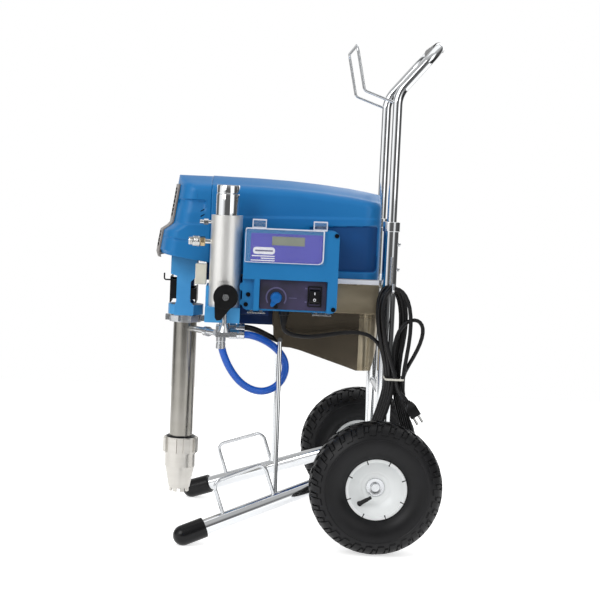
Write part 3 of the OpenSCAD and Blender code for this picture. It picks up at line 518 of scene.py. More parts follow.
# Thin nickel lets the brass below warm it. Its wiping marks are 2 mm apart.
brass = surface("nickelled_brass", "#b9a27c", "#c6b18d", (0.16, 0.24), 10, 2, 0.004, Metallic=1.0)
print("metals ready")

# %% [markdown]
# ## The cart's tubes and wires
# Bent tube and wire come from the CAD with true bends, so they only need their plating.
# The copies get smooth normals, which a mirror finish shows up at once.

# %% Tubes, wires and feet
for node_name, finish, slot_name, bevel_mm in [
        ("side_tube_near", chrome, "chromed_tube", 0), ("side_tube_far", chrome, "chromed_tube", 0),
        ("frame_braces", chrome, "chromed_tube", 0), ("post_collars", chrome, "chromed_tube", 1.2),
        ("leg_loops", zinc, "zinc_steel", 0), ("axle", zinc, "zinc_steel", 0.6),
        ("cord_hook", zinc, "zinc_steel", 0), ("hose_hanger", zinc, "zinc_steel", 0),
        ("handle_bar", chrome, "chromed_tube", 0)]:
    refine(node_name, finish, bevel_mm)
# A polished mould leaves a wet-looking gloss, broken up by waves 2 mm long.
moulded_rubber = surface("glossy_moulded_rubber", "#08080a", "#0d0d0f", (0.22, 0.3), 25, 2, 0.02, **MATT)
refine("foot_caps", moulded_rubber, 2.0)
refine("handle_grip", moulded_rubber, 1.2)
print("cart tubes ready")

# %% [markdown]
# ## Wire loops
# A wire loop stands on each leg, to hold the coiled hose. The CAD draws it in thin wire, and
# here its copy is stretched upwards, moved a little along the leg and thickened along its
# normals. Moving the points of a copy is quicker than a new bend, and the bends stay round.

# %% Stouter wire loops
LOOP_LIFT, LOOP_SHIFT, LOOP_STOUTER = 9, 8, 0.4
FOOT_SPOT, FOOT_SIDE, TUBE_R, LOOP_H = Vector((-377, 0, 19.5)), 228, 15.5, 60
# From a leg's foot to its post: along the cart, inwards and up
LEG_RUN, LEG_SPLAY, LEG_RISE = 394.5, 103, 145.5


def stouten(piece):
    """Lifts a copy of the leg loops off their legs, moves it along them and thickens its wire."""
    for vert in piece.data.vertices:
        x, y, z = 1000 * vert.co
        side = math.copysign(1, y)
        along = Vector((LEG_RUN, -side * LEG_SPLAY, LEG_RISE)).normalized()
        upright = along.cross(Vector((0, 0, 1)).cross(along)).normalized()
        foot = FOOT_SPOT + Vector((0, side * FOOT_SIDE, 0))
        height = (Vector((x - AXLE_X, y, z)) - foot).dot(upright)
        rise = LOOP_LIFT * min(max((height - TUBE_R) / (LOOP_H - TUBE_R), 0), 1)
        vert.co += (rise * upright + LOOP_SHIFT * along + LOOP_STOUTER * vert.normal) / 1000
    piece.data.update()


stouten(bpy.data.objects["leg_loops_piece"])
print("loops ready")

# %% [markdown]
# ## Tray
# The motor stands on a folded steel tray. Its edge is rolled over, and the roll shows as a
# bright line, because half of it looks up at the sky; that line is a painted reflection, a plain
# near-white. Under it hangs a curved sheet of rolled stainless steel, nearly a mirror, so that it
# takes the colour of what it faces, and its brown is a painted reflection. A rolled sheet is never
# quite flat, so its waves are 170 mm long. The tray's own sides and the skirt's rear bend have a
# satin finish, which blurs the room, and their paler beige is a painted reflection.

# %% Tray and skirt
TRAY_FRONT, TRAY_REAR, HEM_Y, HEM_TOP, HEM_LOW, SKIRT_BEND = -214, -2, 118.5, 536.2, 525.6, -44
tray_piece = refine("tray", zinc, 0.4)
# A pale beige, a painted reflection, for the tray's sides and the skirt's rear bend beyond SKIRT_BEND.
satin_painted_pale_reflection = surface("satin_stainless_painted_pale_reflection", "#a4977f", "#cbbfa6", (0.24, 0.32), 90, 120, 3,
                       (0.6, 1, 1.6), Metallic=1.0)
repaint(tray_piece, satin_painted_pale_reflection, lambda x, y, z: z < HEM_LOW)
skirt_piece = refine("tray_skirt", rolled, 0)
repaint(skirt_piece, satin_painted_pale_reflection, lambda x, y, z: x > SKIRT_BEND)
# The rolled edge's reflection of the sky is painted: a plain near-white, with marks of 4 mm.
hem_painted_sky = surface("hem_painted_sky_reflection", "#ecedf4", "#f2f3f8", (0.4, 0.5), 60, 4, 0.006)
for side_name, side in (("near", -1), ("far", 1)):
    across = [(side * (HEM_Y - 6), HEM_LOW), (side * HEM_Y, HEM_LOW, 2.5), (side * HEM_Y, HEM_TOP, 3.5),
              (side * (HEM_Y - 6), HEM_TOP)]
    hem = prism(rounded(across, 0.5), "x", TRAY_FRONT, TRAY_REAR)
    build("tray_hem_" + side_name, hem, hem_painted_sky, "cart")
print("tray ready")

# %% [markdown]
# ## Tyres
# A pneumatic tyre is a ring with a bead at the rim, a bowed sidewall and a tread. The body is
# turned on the lathe. The tread is cut by a mould into blocks, and here each block is a small
# loft that follows the tyre's curve and narrows outwards as a moulded block does. Thirty
# pitches go round, and the left rows lie half a pitch behind the right ones.

# %% Tyre body
TYRE_BODY = [(129.8, 0), (129.2, 10), (127.6, 18), (124.4, 27), (119, 34.5), (113.4, 39.2), (107, 42.2),
             (104.6, 43.9), (103, 44), (101.6, 42.9), (95, 43.4), (86, 42.4), (78, 39.8), (70, 34.6),
             (64, 28.4), (61.6, 25), (57.2, 24.4), (57.2, 17.2), (62, 17.4), (68, 22), (78, 31),
             (95, 35.5), (110, 33.5), (118, 27), (123, 14), (124, 0)]
tyre_section = TYRE_BODY + [(r, -s) for r, s in reversed(TYRE_BODY[1:-1])]
# Carbon black makes it nearly black, and a grain of 1.2 mm keeps its sheen dull.
tyre_rubber = surface("carbon_black_tyre_rubber", "#08080a", "#101013", (0.38, 0.5), 40, 1.2, 0.03, **MATT)
print("tyre section points", len(tyre_section))

# %% Tread blocks
PITCHES = 30
# Top of the tread as (radius, distance from the middle), and how deep the blocks stand
TREAD = [(133, 0), (132.6, 8), (131.8, 15), (129.6, 24), (125.6, 31.5), (119.5, 37.6), (112.5, 41.8)]
BLOCK_DEEP = 4.2


def tread_top(s):
    """Radius of the tread at a distance from the middle, along its broken line."""
    for (r1, s1), (r2, s2) in zip(TREAD, TREAD[1:]):
        if s <= s2:
            return r1 + (r2 - r1) * (s - s1) / (s2 - s1)
    return TREAD[-1][0]


def block(stations, start_deg, skew_deg, half_deg, side):
    """One tread block across the given distances from the middle, in the wheel's own frame."""
    rings = []
    for i, s in enumerate(stations):
        top = tread_top(abs(s))
        lean = max(abs(s) - 20, 0) / 22
        base = top - BLOCK_DEEP * (1 - 0.3 * lean)
        inward = 2.2 * lean
        middle = start_deg + skew_deg * i / (len(stations) - 1)
        ring = []
        corners = ((base, -half_deg - 0.5, inward), (top, -half_deg, 0), (top, half_deg, 0),
                   (base, half_deg + 0.5, inward))
        for radius, edge, shift in corners:
            a = math.radians(middle + edge)
            out = s - math.copysign(shift, s)
            ring.append((radius * math.cos(a), side * out, radius * math.sin(a)))
        rings.append(ring)
    return loft(rings)


def tread():
    """All the blocks of one tyre, about its own middle."""
    blocks = []
    for k in range(PITCHES):
        a = 360 * k / PITCHES
        blocks.append(block((-8, 0, 8), a - 2.6, 5.2, 2.9, 1))
        for side in (-1, 1):
            b = a + (6 if side > 0 else 0)
            blocks.append(block((11.5, 17, 23), b + 5.2, -3.4, 2.8, side))
            blocks.append(block((22, 27, 33, 38, 41.8), b - 1.4, 2.4, 3.0, side))
            blocks.append(block((27.5, 32.5, 37.4), b + 5.6, 0.8, 1.5, side))
    return joined(*blocks)


tread_shape = tread()
print("tread faces", len(tread_shape[1]))

# %% Place the two tyres
WHEEL_Y, WHEEL_Z = 241, 133
for side_name, side in (("near", -1), ("far", 1)):
    body_shape = lathe(tyre_section, (0, side * WHEEL_Y, WHEEL_Z), (0, side, 0), 120, closed=True)
    blocks = [(x, y + side * WHEEL_Y, z + WHEEL_Z) for x, y, z in tread_shape[0]], tread_shape[1]
    build("tyre_" + side_name + "_piece", joined(body_shape, blocks), tyre_rubber,
          "wheel_" + side_name, ("tyre_" + side_name,), crisp=38)
print("tyres ready")

# %% [markdown]
# ## Rims
# Each rim is pressed steel with a white powder coat: a barrel that the tyre beads sit on, a
# dished disc and a hub with a steel washer. Powder coat is slightly wavy, so its highlights
# are soft. Small notches mark the edge, and their black is painted shade, drawn as thin black
# plates; a black valve stem points down and forward.

# %% Rims
# Orange peel of 3 mm across softens the highlights on the dish.
powder = surface("white_powder_coat", "#eef1f1", "#f4f6f6", (0.28, 0.36), 60, 3, 0.01)
RIM_BARREL = [(61, 24.4), (60.6, 26.2), (59.4, 26.8), (55.4, 26.8), (54.4, 25.8), (54.4, -25.8),
              (55.4, -26.8), (59.4, -26.8), (60.6, -26.2), (61, -24.4), (56.8, -24.4), (56.8, 24.4)]
RIM_DISC = [(55, 22.5), (52.4, 19), (49, 13.5), (45, 8.6), (41, 5), (37, 1.8), (34, -0.2),
            (31.5, -1.2), (29, -1.2), (26.5, -2.8), (23.5, -3.2), (20, -3.6), (20, -8), (30, -6),
            (42, 2), (50, 13), (55, 20)]
RIM_HUB = [(8.2, -4.3), (12.6, -4.3), (13, -3.2), (18.6, -3.2), (19.6, -4.3), (21, -5.6), (21, -38),
           (19.6, -40), (8.2, -40)]
WASHER = [(8.2, -3.1), (8.2, -2.3), (9.5, -1.7), (17.6, -1.7), (18.4, -2.3), (18.4, -3.1)]
NOTCHES = 8
# One notch as (distance from the axle, distance across)
NOTCH = ((52.8, -1.2), (61.4, -0.8), (61.4, 0.8), (52.8, 1.2))


def stem(side):
    """The valve stem of one wheel, a rubber tube that narrows from its foot in the dish to its cap."""
    foot = Vector((-32, side * (WHEEL_Y + 8), WHEEL_Z - 33))
    head = Vector((-9, side * (WHEEL_Y + 17), WHEEL_Z - 17))
    reach = (head - foot).length
    profile = [(0, -3), (6, -3), (5.6, 2), (4.3, 6), (4.0, reach - 9), (3.4, reach - 8.4),
               (3.4, reach - 1), (2.8, reach), (0, reach)]
    return lathe(profile, foot, head - foot, 24)


for side_name, side in (("near", -1), ("far", 1)):
    centre, outward = (0, side * WHEEL_Y, WHEEL_Z), (0, side, 0)
    parts = [lathe(profile, centre, outward, 96, closed=True)
             for profile in (RIM_BARREL, RIM_DISC, RIM_HUB)]
    build("rim_" + side_name + "_piece", joined(*parts), powder, "wheel_" + side_name,
          ("rim_" + side_name,))
    build("hub_washer_" + side_name, lathe(WASHER, centre, outward, 64, closed=True), zinc,
          "wheel_" + side_name, bevel_mm=0.2)
    build("valve_stem_" + side_name, stem(side), rubber, "wheel_" + side_name)
    # Each notch is a thin black plate of painted shade, in the rubber's black.
    notches = []
    for k in range(NOTCHES):
        a = math.radians(360 * (k + 0.45) / NOTCHES)
        along, across = Vector((math.cos(a), math.sin(a))), Vector((-math.sin(a), math.cos(a)))
        outline = [tuple(r * along + w * across) for r, w in NOTCH]
        outline = [(u, v + WHEEL_Z) for u, v in outline]
        notches.append(prism(outline, "y", side * (WHEEL_Y + 26.2), side * (WHEEL_Y + 26.95)))
    build("rim_notch_shade_" + side_name, joined(*notches), rubber, "wheel_" + side_name)
print("rims ready")

# %% [markdown]
# ## Blue shells
# The motor shroud and the front cover are injection-moulded ABS with a soft gloss. Moulded
# panels need steps and hollows to stay stiff, so the upper skin stands a little further in
# than the lower one, and the rear of the shroud has a hollow panel. The skin is a fine grid of
# rings, and each feature is a smooth depth that is taken off the grid's width. The mould is
# spark-eroded inside the hollow, in grains of 1.2 mm, which makes the panel duller, and its
# darker blue is painted shade.

# %% Shell finish and steps
# Flow waves 5 mm long barely move the highlight. The eroded grain dulls the hollow,
# and the hollow's darker blue is painted shade.
abs_blue = surface("gloss_blue_abs", "#0570b2", "#0a76b8", (0.4, 0.46), 200, 5, 0.012,
                   **{"Specular IOR Level": 0.4})
abs_textured_painted_shade = surface("spark_textured_blue_abs_painted_shade", "#06447e", "#094a86", (0.5, 0.6), 60, 1.2, 0.03, **MATT)


def smooth_step(low, high, value):
    """0 below low, 1 above high, and a smooth rise between them."""
    t = min(max((value - low) / (high - low), 0), 1)
    return t * t * (3 - 2 * t)


def pocket(x, z, left, right, bottom, top, radius, edge):
    """How far inside a round-cornered panel a place is: 0 outside, 1 inside."""
    dx = max(left + radius - x, x - right + radius, 0)
    dz = max(bottom + radius - z, z - top + radius, 0)
    return smooth_step(0, edge, radius - math.hypot(dx, dz))


def level(line, x):
    """Height on a broken line of pairs."""
    for (x1, z1), (x2, z2) in zip(line, line[1:]):
        if x <= x2 or (x2, z2) == line[-1]:
            return z1 + (z2 - z1) * (x - x1) / (x2 - x1)


print("shell helpers ready")

# %% Motor shroud
SEAM_X, SHROUD_W, SHROUD_TOP, SHOULDER, CROWN, REAR_R, DECK_Z = -350, 105, 734, 18, 16, 38, 536
TOP_FALL = [(-350, 0), (-316, -0.6), (-253, -1.6), (-190, -4), (-126, -8.6), (-63, -15), (-24, -21),
            (0, -25.5)]
UPPER_INSET, STEP_FRONT_X, STEP_FRONT_Z, STEP_SLOPE, STEP_BLEND = 2.6, -285, 651, 8 / 272, 5
PANEL_FRONT, PANEL_REAR, PANEL_LOW, PANEL_HIGH, PANEL_CORNER, PANEL_EDGE = -150, -5, 549, 648, 9, 4.5
PANEL_DEEP, PANEL_LEAN, PANEL_SLOPE, TEXTURED_SHADE_FROM = 8.5, 0.045, 0.05, 2.2
GRID_STEP, GRID_ROWS, CORNER_STEPS = 1.6, 81, 8


def upper_inset(x, z):
    """How far the skin stands in above the long step in the shroud's side."""
    step_z = STEP_FRONT_Z + STEP_SLOPE * (x - STEP_FRONT_X)
    return UPPER_INSET * smooth_step(step_z - 1, step_z + STEP_BLEND, z)


def panel_hollow(x, z):
    """Depth of the hollow panel at the shroud's rear, which is deepest along its bottom."""
    top = PANEL_HIGH + PANEL_SLOPE * (x - PANEL_REAR)
    inside = pocket(x, z, PANEL_FRONT, PANEL_REAR, PANEL_LOW, top, PANEL_CORNER, PANEL_EDGE)
    return (PANEL_DEEP - PANEL_LEAN * (z - PANEL_LOW)) * inside


def shroud_ring(x):
    """One section of the shroud, from its near bottom edge over the top to its far one."""
    cut = REAR_R - math.sqrt(max(0, REAR_R ** 2 - (x + REAR_R) ** 2)) if x > -REAR_R else 0
    w = SHROUD_W - cut
    top = SHROUD_TOP + level(TOP_FALL, x)
    rim = top - CROWN - SHOULDER
    heights = [DECK_Z + GRID_STEP * k for k in range(GRID_ROWS)]
    half = [(w - upper_inset(x, z) - panel_hollow(x, z), z) for z in heights]
    inner = w - UPPER_INSET
    for k in range(CORNER_STEPS + 1):
        a = math.radians(90 * k / CORNER_STEPS)
        half.append((inner - SHOULDER * (1 - math.cos(a)), rim + SHOULDER * math.sin(a)))
    flat = inner - SHOULDER
    for k in range(1, CORNER_STEPS + 1):
        y = flat * (1 - k / (CORNER_STEPS + 1))
        half.append((y, top - CROWN * (y / flat) ** 2))
    near = [(x, -y, z) for y, z in half]
    return near + [(x, 0, top)] + [(x, y, z) for y, z in reversed(half)]


stations = [SEAM_X + 0.15, SEAM_X + 3] + list(range(-340, -84, 12)) + [-78 + 3 * k for k in range(14)]
stations += [REAR_R * (math.sin(math.radians(a)) - 1) for a in range(3, 91, 3)]
shroud_points, shroud_faces = loft([shroud_ring(x) for x in stations], caps=False, wrap=False)
ring_size = len(shroud_ring(SEAM_X))
last_ring = len(shroud_points) - ring_size
shroud_faces.append(tuple(range(last_ring, len(shroud_points))))
shroud = build("motor_shroud_piece", (shroud_points, shroud_faces), abs_blue, "cart",
               ("motor_shroud",), crisp=50)
WALL_M = 0.0028
skin = shroud.modifiers.new("wall", "SOLIDIFY")
skin.thickness, skin.offset = WALL_M, -1
# The hollow's faces take the darker blue, painted shade of the recess.
repaint(shroud, abs_textured_painted_shade, lambda x, y, z: panel_hollow(x, z) > TEXTURED_SHADE_FROM)
print("shroud faces", len(shroud_faces))

# %% Front cover
FRONT_LINE = [(556, -456), (572, -461), (595, -458), (619, -454), (628, -441), (635, -435), (683, -428),
              (732, -421), (740, -420)]
COVER_LOW = 557
# The nose is a shallow bow with quicker corners: depth of the bow at a half width, and the corners'
BOW_DEEP, BOW_HALF, CORNER_DEEP = 14, 85, 22
# Depths of the step, ledge and groove in the cover's side, and how the step and groove lean
COVER_STEP, COVER_LEDGE, COVER_GROOVE, STEP_LEAN, GROOVE_LEAN = 3.4, 6.5, 2.6, 0.06, 0.13


def bow_depth(y):
    """How far the nose falls back at a distance from the middle."""
    return BOW_DEEP * (y / BOW_HALF) ** 2


def skin_width(z):
    """Half width of the crowned section at a height."""
    drop = SHROUD_TOP - z
    flat = SHROUD_W - SHOULDER
    if drop <= CROWN:
        return flat * math.sqrt(max(drop, 0) / CROWN)
    if drop >= CROWN + SHOULDER:
        return SHROUD_W
    return flat + math.sqrt(SHOULDER ** 2 - (SHOULDER - (drop - CROWN)) ** 2)


def cover_relief(x, z):
    """Depth of the cover's step, ledge and groove at a place on its side."""
    lean = STEP_LEAN * (x + 456)
    depth = COVER_STEP * smooth_step(628 + lean, 632 + lean, z)
    depth += COVER_LEDGE * pocket(x, z, -419, -361, 640, 684, 5, 1.2) * smooth_step(654, 682, z)
    depth += COVER_GROOVE * pocket(x, z + GROOVE_LEAN * (x + 441), -446, -394, 602.5, 607.5, 2.2, 2)
    return depth


def cover_ring(z):
    """One level of the cover, from the far seam round the bowed front to the near seam."""
    w = skin_width(z)
    side = [(SEAM_X - 0.15, w), (SEAM_X - 3, w)]
    nose = level(FRONT_LINE, z)
    bow = []
    for k in range(41):
        t = 1 - k / 40
        y = w * math.sin(math.radians(90 * t))
        bow.append((nose + bow_depth(y) + CORNER_DEEP * t ** 4, y))
    for k in range(1, 12):
        side.append((SEAM_X - 3 + (bow[0][0] - SEAM_X + 3) * k / 12, w))
    half = []
    for x, y in side + bow:
        depth = cover_relief(x, z) * min(y / 60, 1)
        half.append((x, y - min(depth, y)))
    low = 14 * smooth_step(COVER_LOW + 30, COVER_LOW, z)
    ring = [(x, y, z + low * (SEAM_X - x) / 101) for x, y in half]
    return ring + [(x, -y, h) for x, y, h in reversed(ring[:-1])]


levels = [COVER_LOW + 1.8 * k for k in range(80)] + list(range(702, 730, 3)) + [731, 732.6]
cover_points, cover_faces = loft([cover_ring(z) for z in levels], caps=False, wrap=False)
ring_size = len(cover_ring(600))
cover_faces.append(tuple(range(len(cover_points) - ring_size, len(cover_points))))
cover = build("front_cover_piece", (cover_points, cover_faces), abs_blue, "cart",
              ("front_cover",), crisp=60)
skin = cover.modifiers.new("wall", "SOLIDIFY")
skin.thickness, skin.offset = WALL_M, -1
print("cover faces", len(cover_faces))

# %% [markdown]
# ## Small features on the cover
# Two slanted slots, two fine raised lines and the grille plate of the nose are separate pieces.
# They have to lie on a curved skin, so each one asks the cover where its surface is.

# %% Slots and lines on the cover


def cover_side(x, z):
    """Half width of the cover's skin at a place seen from the side."""
    ring = cover_ring(z)
    half = ring[:len(ring) // 2]
    x1, y1, _ = min(half, key=lambda p: abs(p[0] - x))
    return y1


def on_cover(outline, proud, depth=1.6):
    """A thin plate with this outline in x and z, lying on the near side of the cover."""
    outer = [(x, -cover_side(x, z) - proud, z) for x, z in outline]
    inner = [(x, y + depth, z) for x, y, z in outer]
    return loft([inner, outer])


# A gap too narrow to be lit is nearly black, and its grain of 1 mm never shows.
black_gap = surface("black_shadow_gap", "#040507", "#08090b", (0.6, 0.8), 20, 1.0, 0.01,
                    **{"Specular IOR Level": 0.1})
slots = [on_cover([(x - 4.5, z - 3.6), (x + 3.1, z + 0.6), (x + 4.5, z + 3.8), (x - 3.1, z - 0.4)], 0.25)
         for x, z in ((-367.8, 662.8), (-367.4, 652.3))]
build("cover_slots", joined(*slots), black_gap, "cart")
tick = on_cover([(-380.6, 687), (-379.4, 687), (-379.4, 697), (-380.6, 697)], 0.7)
arc = [(-363.5 + 4.5 * math.cos(math.radians(a)), 677 + 9.5 * math.sin(math.radians(a)))
       for a in range(-70, 80, 12)]
arc_back = [(x - 1.1, z) for x, z in reversed(arc)]
build("cover_lines", joined(tick, on_cover(arc + arc_back, 0.7)), abs_blue, "cart",
      bevel_mm=0.3)
print("cover features ready")

# %% Front grille plate
GRILLE_WINDOWS = [(645, 706, 0.25, 1.6), (582, 616, 0.25, 1.6)]
# Under grey paint the casting's grain of 1.5 mm shows as a soft sheen.
cast_grey = surface("grey_painted_aluminium", "#77716e", "#857f7b", (0.35, 0.45), 30, 1.5, 0.02)


def bow_point(z, k, ahead):
    """A place so far ahead of the cover's nose: k runs from 0 in the middle to 5 at the side."""
    y = skin_width(z) * math.sin(math.radians(18 * abs(k)))
    x = level(FRONT_LINE, z) + bow_depth(y) + CORNER_DEEP * (abs(k) / 5) ** 4
    return (x - ahead, math.copysign(y, k), z)


def grille_hollow(z, k):
    """Depth of the grille's windows: deep slats between thin bars."""
    for low, high, inner, outer in GRILLE_WINDOWS:
        if low < z < high and inner <= abs(k) < outer and (z - low) % 9 > 2.4:
            return 2.6
    return 0.0


plate_levels = [562 + 1.2 * k for k in range(127)]
plate_ks = [-2 + 0.1 * k for k in range(41)]
front_rings = []
for z in plate_levels:
    outer = [bow_point(z, k, 3.1 - grille_hollow(z, k)) for k in plate_ks]
    inner = [bow_point(z, k, 0.2) for k in reversed(plate_ks)]
    front_rings.append(outer + inner)
grille = build("front_plate_piece", loft(front_rings), cast_grey, "cart",
               ("front_plate",), crisp=40)


def in_window(x, y, z):
    """True for the grille's hollow faces."""
    if abs(y) >= 50 or not any(low < z < high for low, high, _, _ in GRILLE_WINDOWS):
        return False
    return x > level(FRONT_LINE, z) + bow_depth(y) - 1.9


repaint(grille, black_gap, in_window)
print("grille faces", len(grille.data.polygons))

# %% [markdown]
# ## Castings
# The gear housing, the pump yoke and the manifold are sand castings in blue enamel. The sand
# leaves a surface that is bumpy every 2 or 3 mm under the gloss, and generous edge radii.

# %% Castings
# Thick enamel keeps a gloss, and the sand's bumps under it, 2.5 mm apart, make it sparkle.
enamel = surface("blue_enamel_on_castings", "#429cdb", "#4ba6e4", (0.3, 0.38), 40, 2.5, 0.04)
# The same enamel darkened into a deep blue as painted shade. It shows mostly by its highlights.
enamel_painted_shade = surface("blue_enamel_painted_shade", "#062a5c", "#0a3164", (0.3, 0.4), 40, 2.5, 0.05, **MATT)
# The gear housing and the box bracket take the darkened enamel, painted shade.
for node_name, finish, slot_name, bevel_mm in [
        ("gear_housing", enamel_painted_shade, "blue_paint", 3.0), ("pump_yoke", enamel, "blue_paint", 2.2),
        ("manifold_block", enamel, "blue_paint", 2.0), ("box_bracket", enamel_painted_shade, "blue_paint", 0.8)]:
    refine(node_name, finish, bevel_mm)
print("castings ready")

# %% [markdown]
# ## Pump
# The pump hangs in the yoke as a stack of steel: a castellated nut, a honed cylinder, the intake
# nut with its lugs and the cone of the strainer. Their round faces are smooth copies from the
# CAD. A black ring fills the step between the cylinder and the intake nut, as painted shade
# for the gap there.

# %% Pump stack
PUMP = (-398, 0, 0)
refine("jam_nut", zinc, 1.0)
refine("pump_cylinder", honed, 0.5)
refine("intake_nut", turned, 1.4)
refine("inlet_strainer", turned, 0.8)
# A black rubber ring of painted shade, standing for the dark gap above the intake nut.
GAP_SHADE_RING = [(24.7, 178.6), (30.5, 178.6), (30.5, 180.2), (28.6, 181.6), (24.7, 181.6)]
gap_shade_ring = lathe(GAP_SHADE_RING, PUMP, (0, 0, 1), 64, closed=True)
build("intake_gap_shade", gap_shade_ring, rubber, "cart")
refine("intake_ball", steel, 0)
refine("piston_rod", steel, 0.6)
# Greased leather is dull and brown. Its pores are drawn at 0.8 mm, coarse enough to show.
leather = surface("greased_leather_packing", "#7a5a2c", "#92703c", (0.5, 0.7), 6, 0.8, 0.1)
refine("pump_packings", leather, 0.3)
# Moulded nylon comes out satin black, with a grain of 0.8 mm from the mould.
nylon_black = surface("black_moulded_nylon", "#08080a", "#0d0d0f", (0.3, 0.42), 12, 0.8, 0.02, **MATT)
refine("rod_guards", nylon_black, 0.6)
print("pump ready")

# %% [markdown]
# ## Motor and crank
# These parts are inside the shells and show only when a shell is taken off, so the CAD shapes
# with rounded edges and their own finishes are enough.

# %% Motor and crank
# Lacquer dries in waves 2 mm long, so the motor's can has a soft, broken gloss.
lacquer = surface("black_lacquered_steel", "#191a1c", "#222326", (0.35, 0.5), 20, 2, 0.02)
for node_name, finish, slot_name, bevel_mm in [
        ("motor_case", lacquer, "motor_steel", 0.8), ("motor_rotor", steel, "machined_steel", 0.3),
        ("motor_fan", nylon_black, "black_plastic", 0.4), ("crank_gear", steel, "machined_steel", 0.15),
        ("connecting_rod", cast_grey, "cast_aluminium", 0.8)]:
    refine(node_name, finish, bevel_mm)
print("motor ready")

# %% [markdown]
# ## Filter column
# The fluid filter is a tall anodised housing with a chromed cap. The cap has a groove where a
# strap wrench grips, and it is turned here from its profile.

# %% Filter column and cap
COLUMN = (-316, -165, 0)
refine("filter_column", anodised, 0.9)
CAP = [(0, 645), (23.2, 645), (23.2, 657.2), (24, 657.4), (24, 697), (23.7, 698), (22.9, 698.6),
       (22.9, 700.6), (23.3, 701.2), (23.3, 715.4), (22.6, 716.6), (21.4, 717), (0, 717)]
build("filter_cap_piece", lathe(CAP, COLUMN, (0, 0, 1), 96), chrome, "cart",
      ("filter_cap",))
refine("filter_element", tie_nylon, 0.3)
# Unpainted polyamide is a dull cream with a grain of 1 mm.
sensor_white = surface("cream_polyamide", "#d3cfbf", "#dcd9cb", (0.45, 0.55), 25, 1.0, 0.01)
refine("sensor_block", sensor_white, 1.5)
print("filter ready")

# %% [markdown]
# ## Fittings
# Pipe fittings are hexagons, necks and threads on one axis. A hexagon is a six-sided lathe with
# chamfered ends, and a thread is close enough as a row of rings 1.5 mm apart.

# %% Fitting helpers


def threaded(radius, start, end, pitch=1.5, deep=0.5):
    """A profile with rings like a thread's crests."""
    profile = []
    for k in range(int((end - start) / pitch)):
        low = start + k * pitch
        profile += [(radius - deep, low + 0.1 * pitch), (radius, low + 0.5 * pitch)]
    return profile + [(radius - deep, end)]


def hexagon(radius, start, end, origin, along):
    """A hexagonal nut with chamfered ends."""
    profile = [(0, start), (0.9 * radius, start), (radius, start + 1), (radius, end - 1),
               (0.9 * radius, end), (0, end)]
    return lathe(profile, origin, along, 6)


print("fitting helpers ready")

# %% Hose outlet on the column
OUTLET, FORWARD = (-341, -165, 603), (-1, 0, 0)
nut_profile = [(0, 27), (9.4, 27), (11, 28.6), (11, 31)] + threaded(11, 31, 39, 1.2, 0.35)
nut_profile += [(11, 39.4), (11, 40.6), (9.6, 42), (0, 42)]
thread_profile = [(0, 42), (8, 42)] + threaded(8.4, 42, 49) + [(7.4, 50), (5, 50), (5, 46), (0, 46)]
outlet_body = lathe([(0, -2), (5, -2), (5, 17), (0, 17)], OUTLET, FORWARD, 32)
outlet_nut = lathe(nut_profile, OUTLET, FORWARD, 40)
outlet_thread = lathe(thread_profile, OUTLET, FORWARD, 40)
build("hose_outlet_piece", joined(outlet_body, outlet_nut, outlet_thread), steel, "cart",
      ("hose_outlet",), bevel_mm=0.2)
build("outlet_hexagon", hexagon(10, 17, 27, OUTLET, FORWARD), brass, "cart",
      bevel_mm=0.2, crisp=25)
print("outlet ready")

# %% Tee, drain and other fittings
refine("hose_fittings", zinc, 1.0)
refine("drain_valve", zinc, 0.8)
refine("drain_handle", nylon_black, 2.2)
for name, origin, along, outer, inner in [
        ("blue_hose_ferrule", (-303, -150, 417), (1, 0, 0), 9.4, 7.6),
        ("black_hose_ferrule", (-303, -124, 429), (1, 0, 0), 7.6, 6.1)]:
    profile = [(inner, 15), (outer - 0.8, 15), (outer, 15.8), (outer, 20), (outer - 0.5, 20.4),
               (outer - 0.5, 21.2), (outer, 21.6), (outer, 30), (outer - 0.8, 31), (inner, 31)]
    ferrule = lathe(profile, origin, along, 40, closed=True)
    build(name, ferrule, zinc, "cart")
HOSE_TAIL = [(7.6, 0), (9.6, 0), (9.6, 9), (9, 9.6), (9, 13), (9.6, 13.6), (9.6, 24), (7.6, 24)]
hose_tail = lathe(HOSE_TAIL, BLUE_ROUTE[0], (0, 0, -1), 40, closed=True)
build("blue_hose_tail", hose_tail, zinc, "cart", bevel_mm=0.2)
print("fittings ready")

# %% [markdown]
# ## Control box
# The box is injection-moulded ABS like the shroud, with a finer, satin texture. Its face carries
# a printed foil with a display, and in a hollow below it the pressure knob and the mains rocker.
# The printing is bare shapes only: a white pill and three bars stand where lettering would be.

# %% Box shell and panel
# The mould's fine texture is drawn at 1.6 mm, so that it shows, and makes the box satin.
box_abs = surface("satin_blue_abs", "#1a75b2", "#1e7ab8", (0.32, 0.38), 60, 1.6, 0.015,
                  **{"Specular IOR Level": 0.35})
refine("box_housing", box_abs, 1.8)
# Printed film is smooth and softly matt. A grain of 1.6 mm keeps it from looking flat.
foil = surface("purple_printed_foil", "#443fae", "#4a45b4", (0.36, 0.44), 60, 1.6, 0.004, **MATT)
slate = surface("slate_printed_foil", "#2e2d38", "#403a58", (0.4, 0.5), 55, 1.6, 0.004, **MATT)
# Screen-printed ink is a dull, even film: its 0.5 mm grain is only just there.
ink = surface("white_ink", "#e4e4ea", "#eeeef2", (0.45, 0.55), 10, 0.5, 0.004)
lilac = surface("lilac_ink", "#524e74", "#5c587e", (0.45, 0.55), 10, 0.5, 0.004)
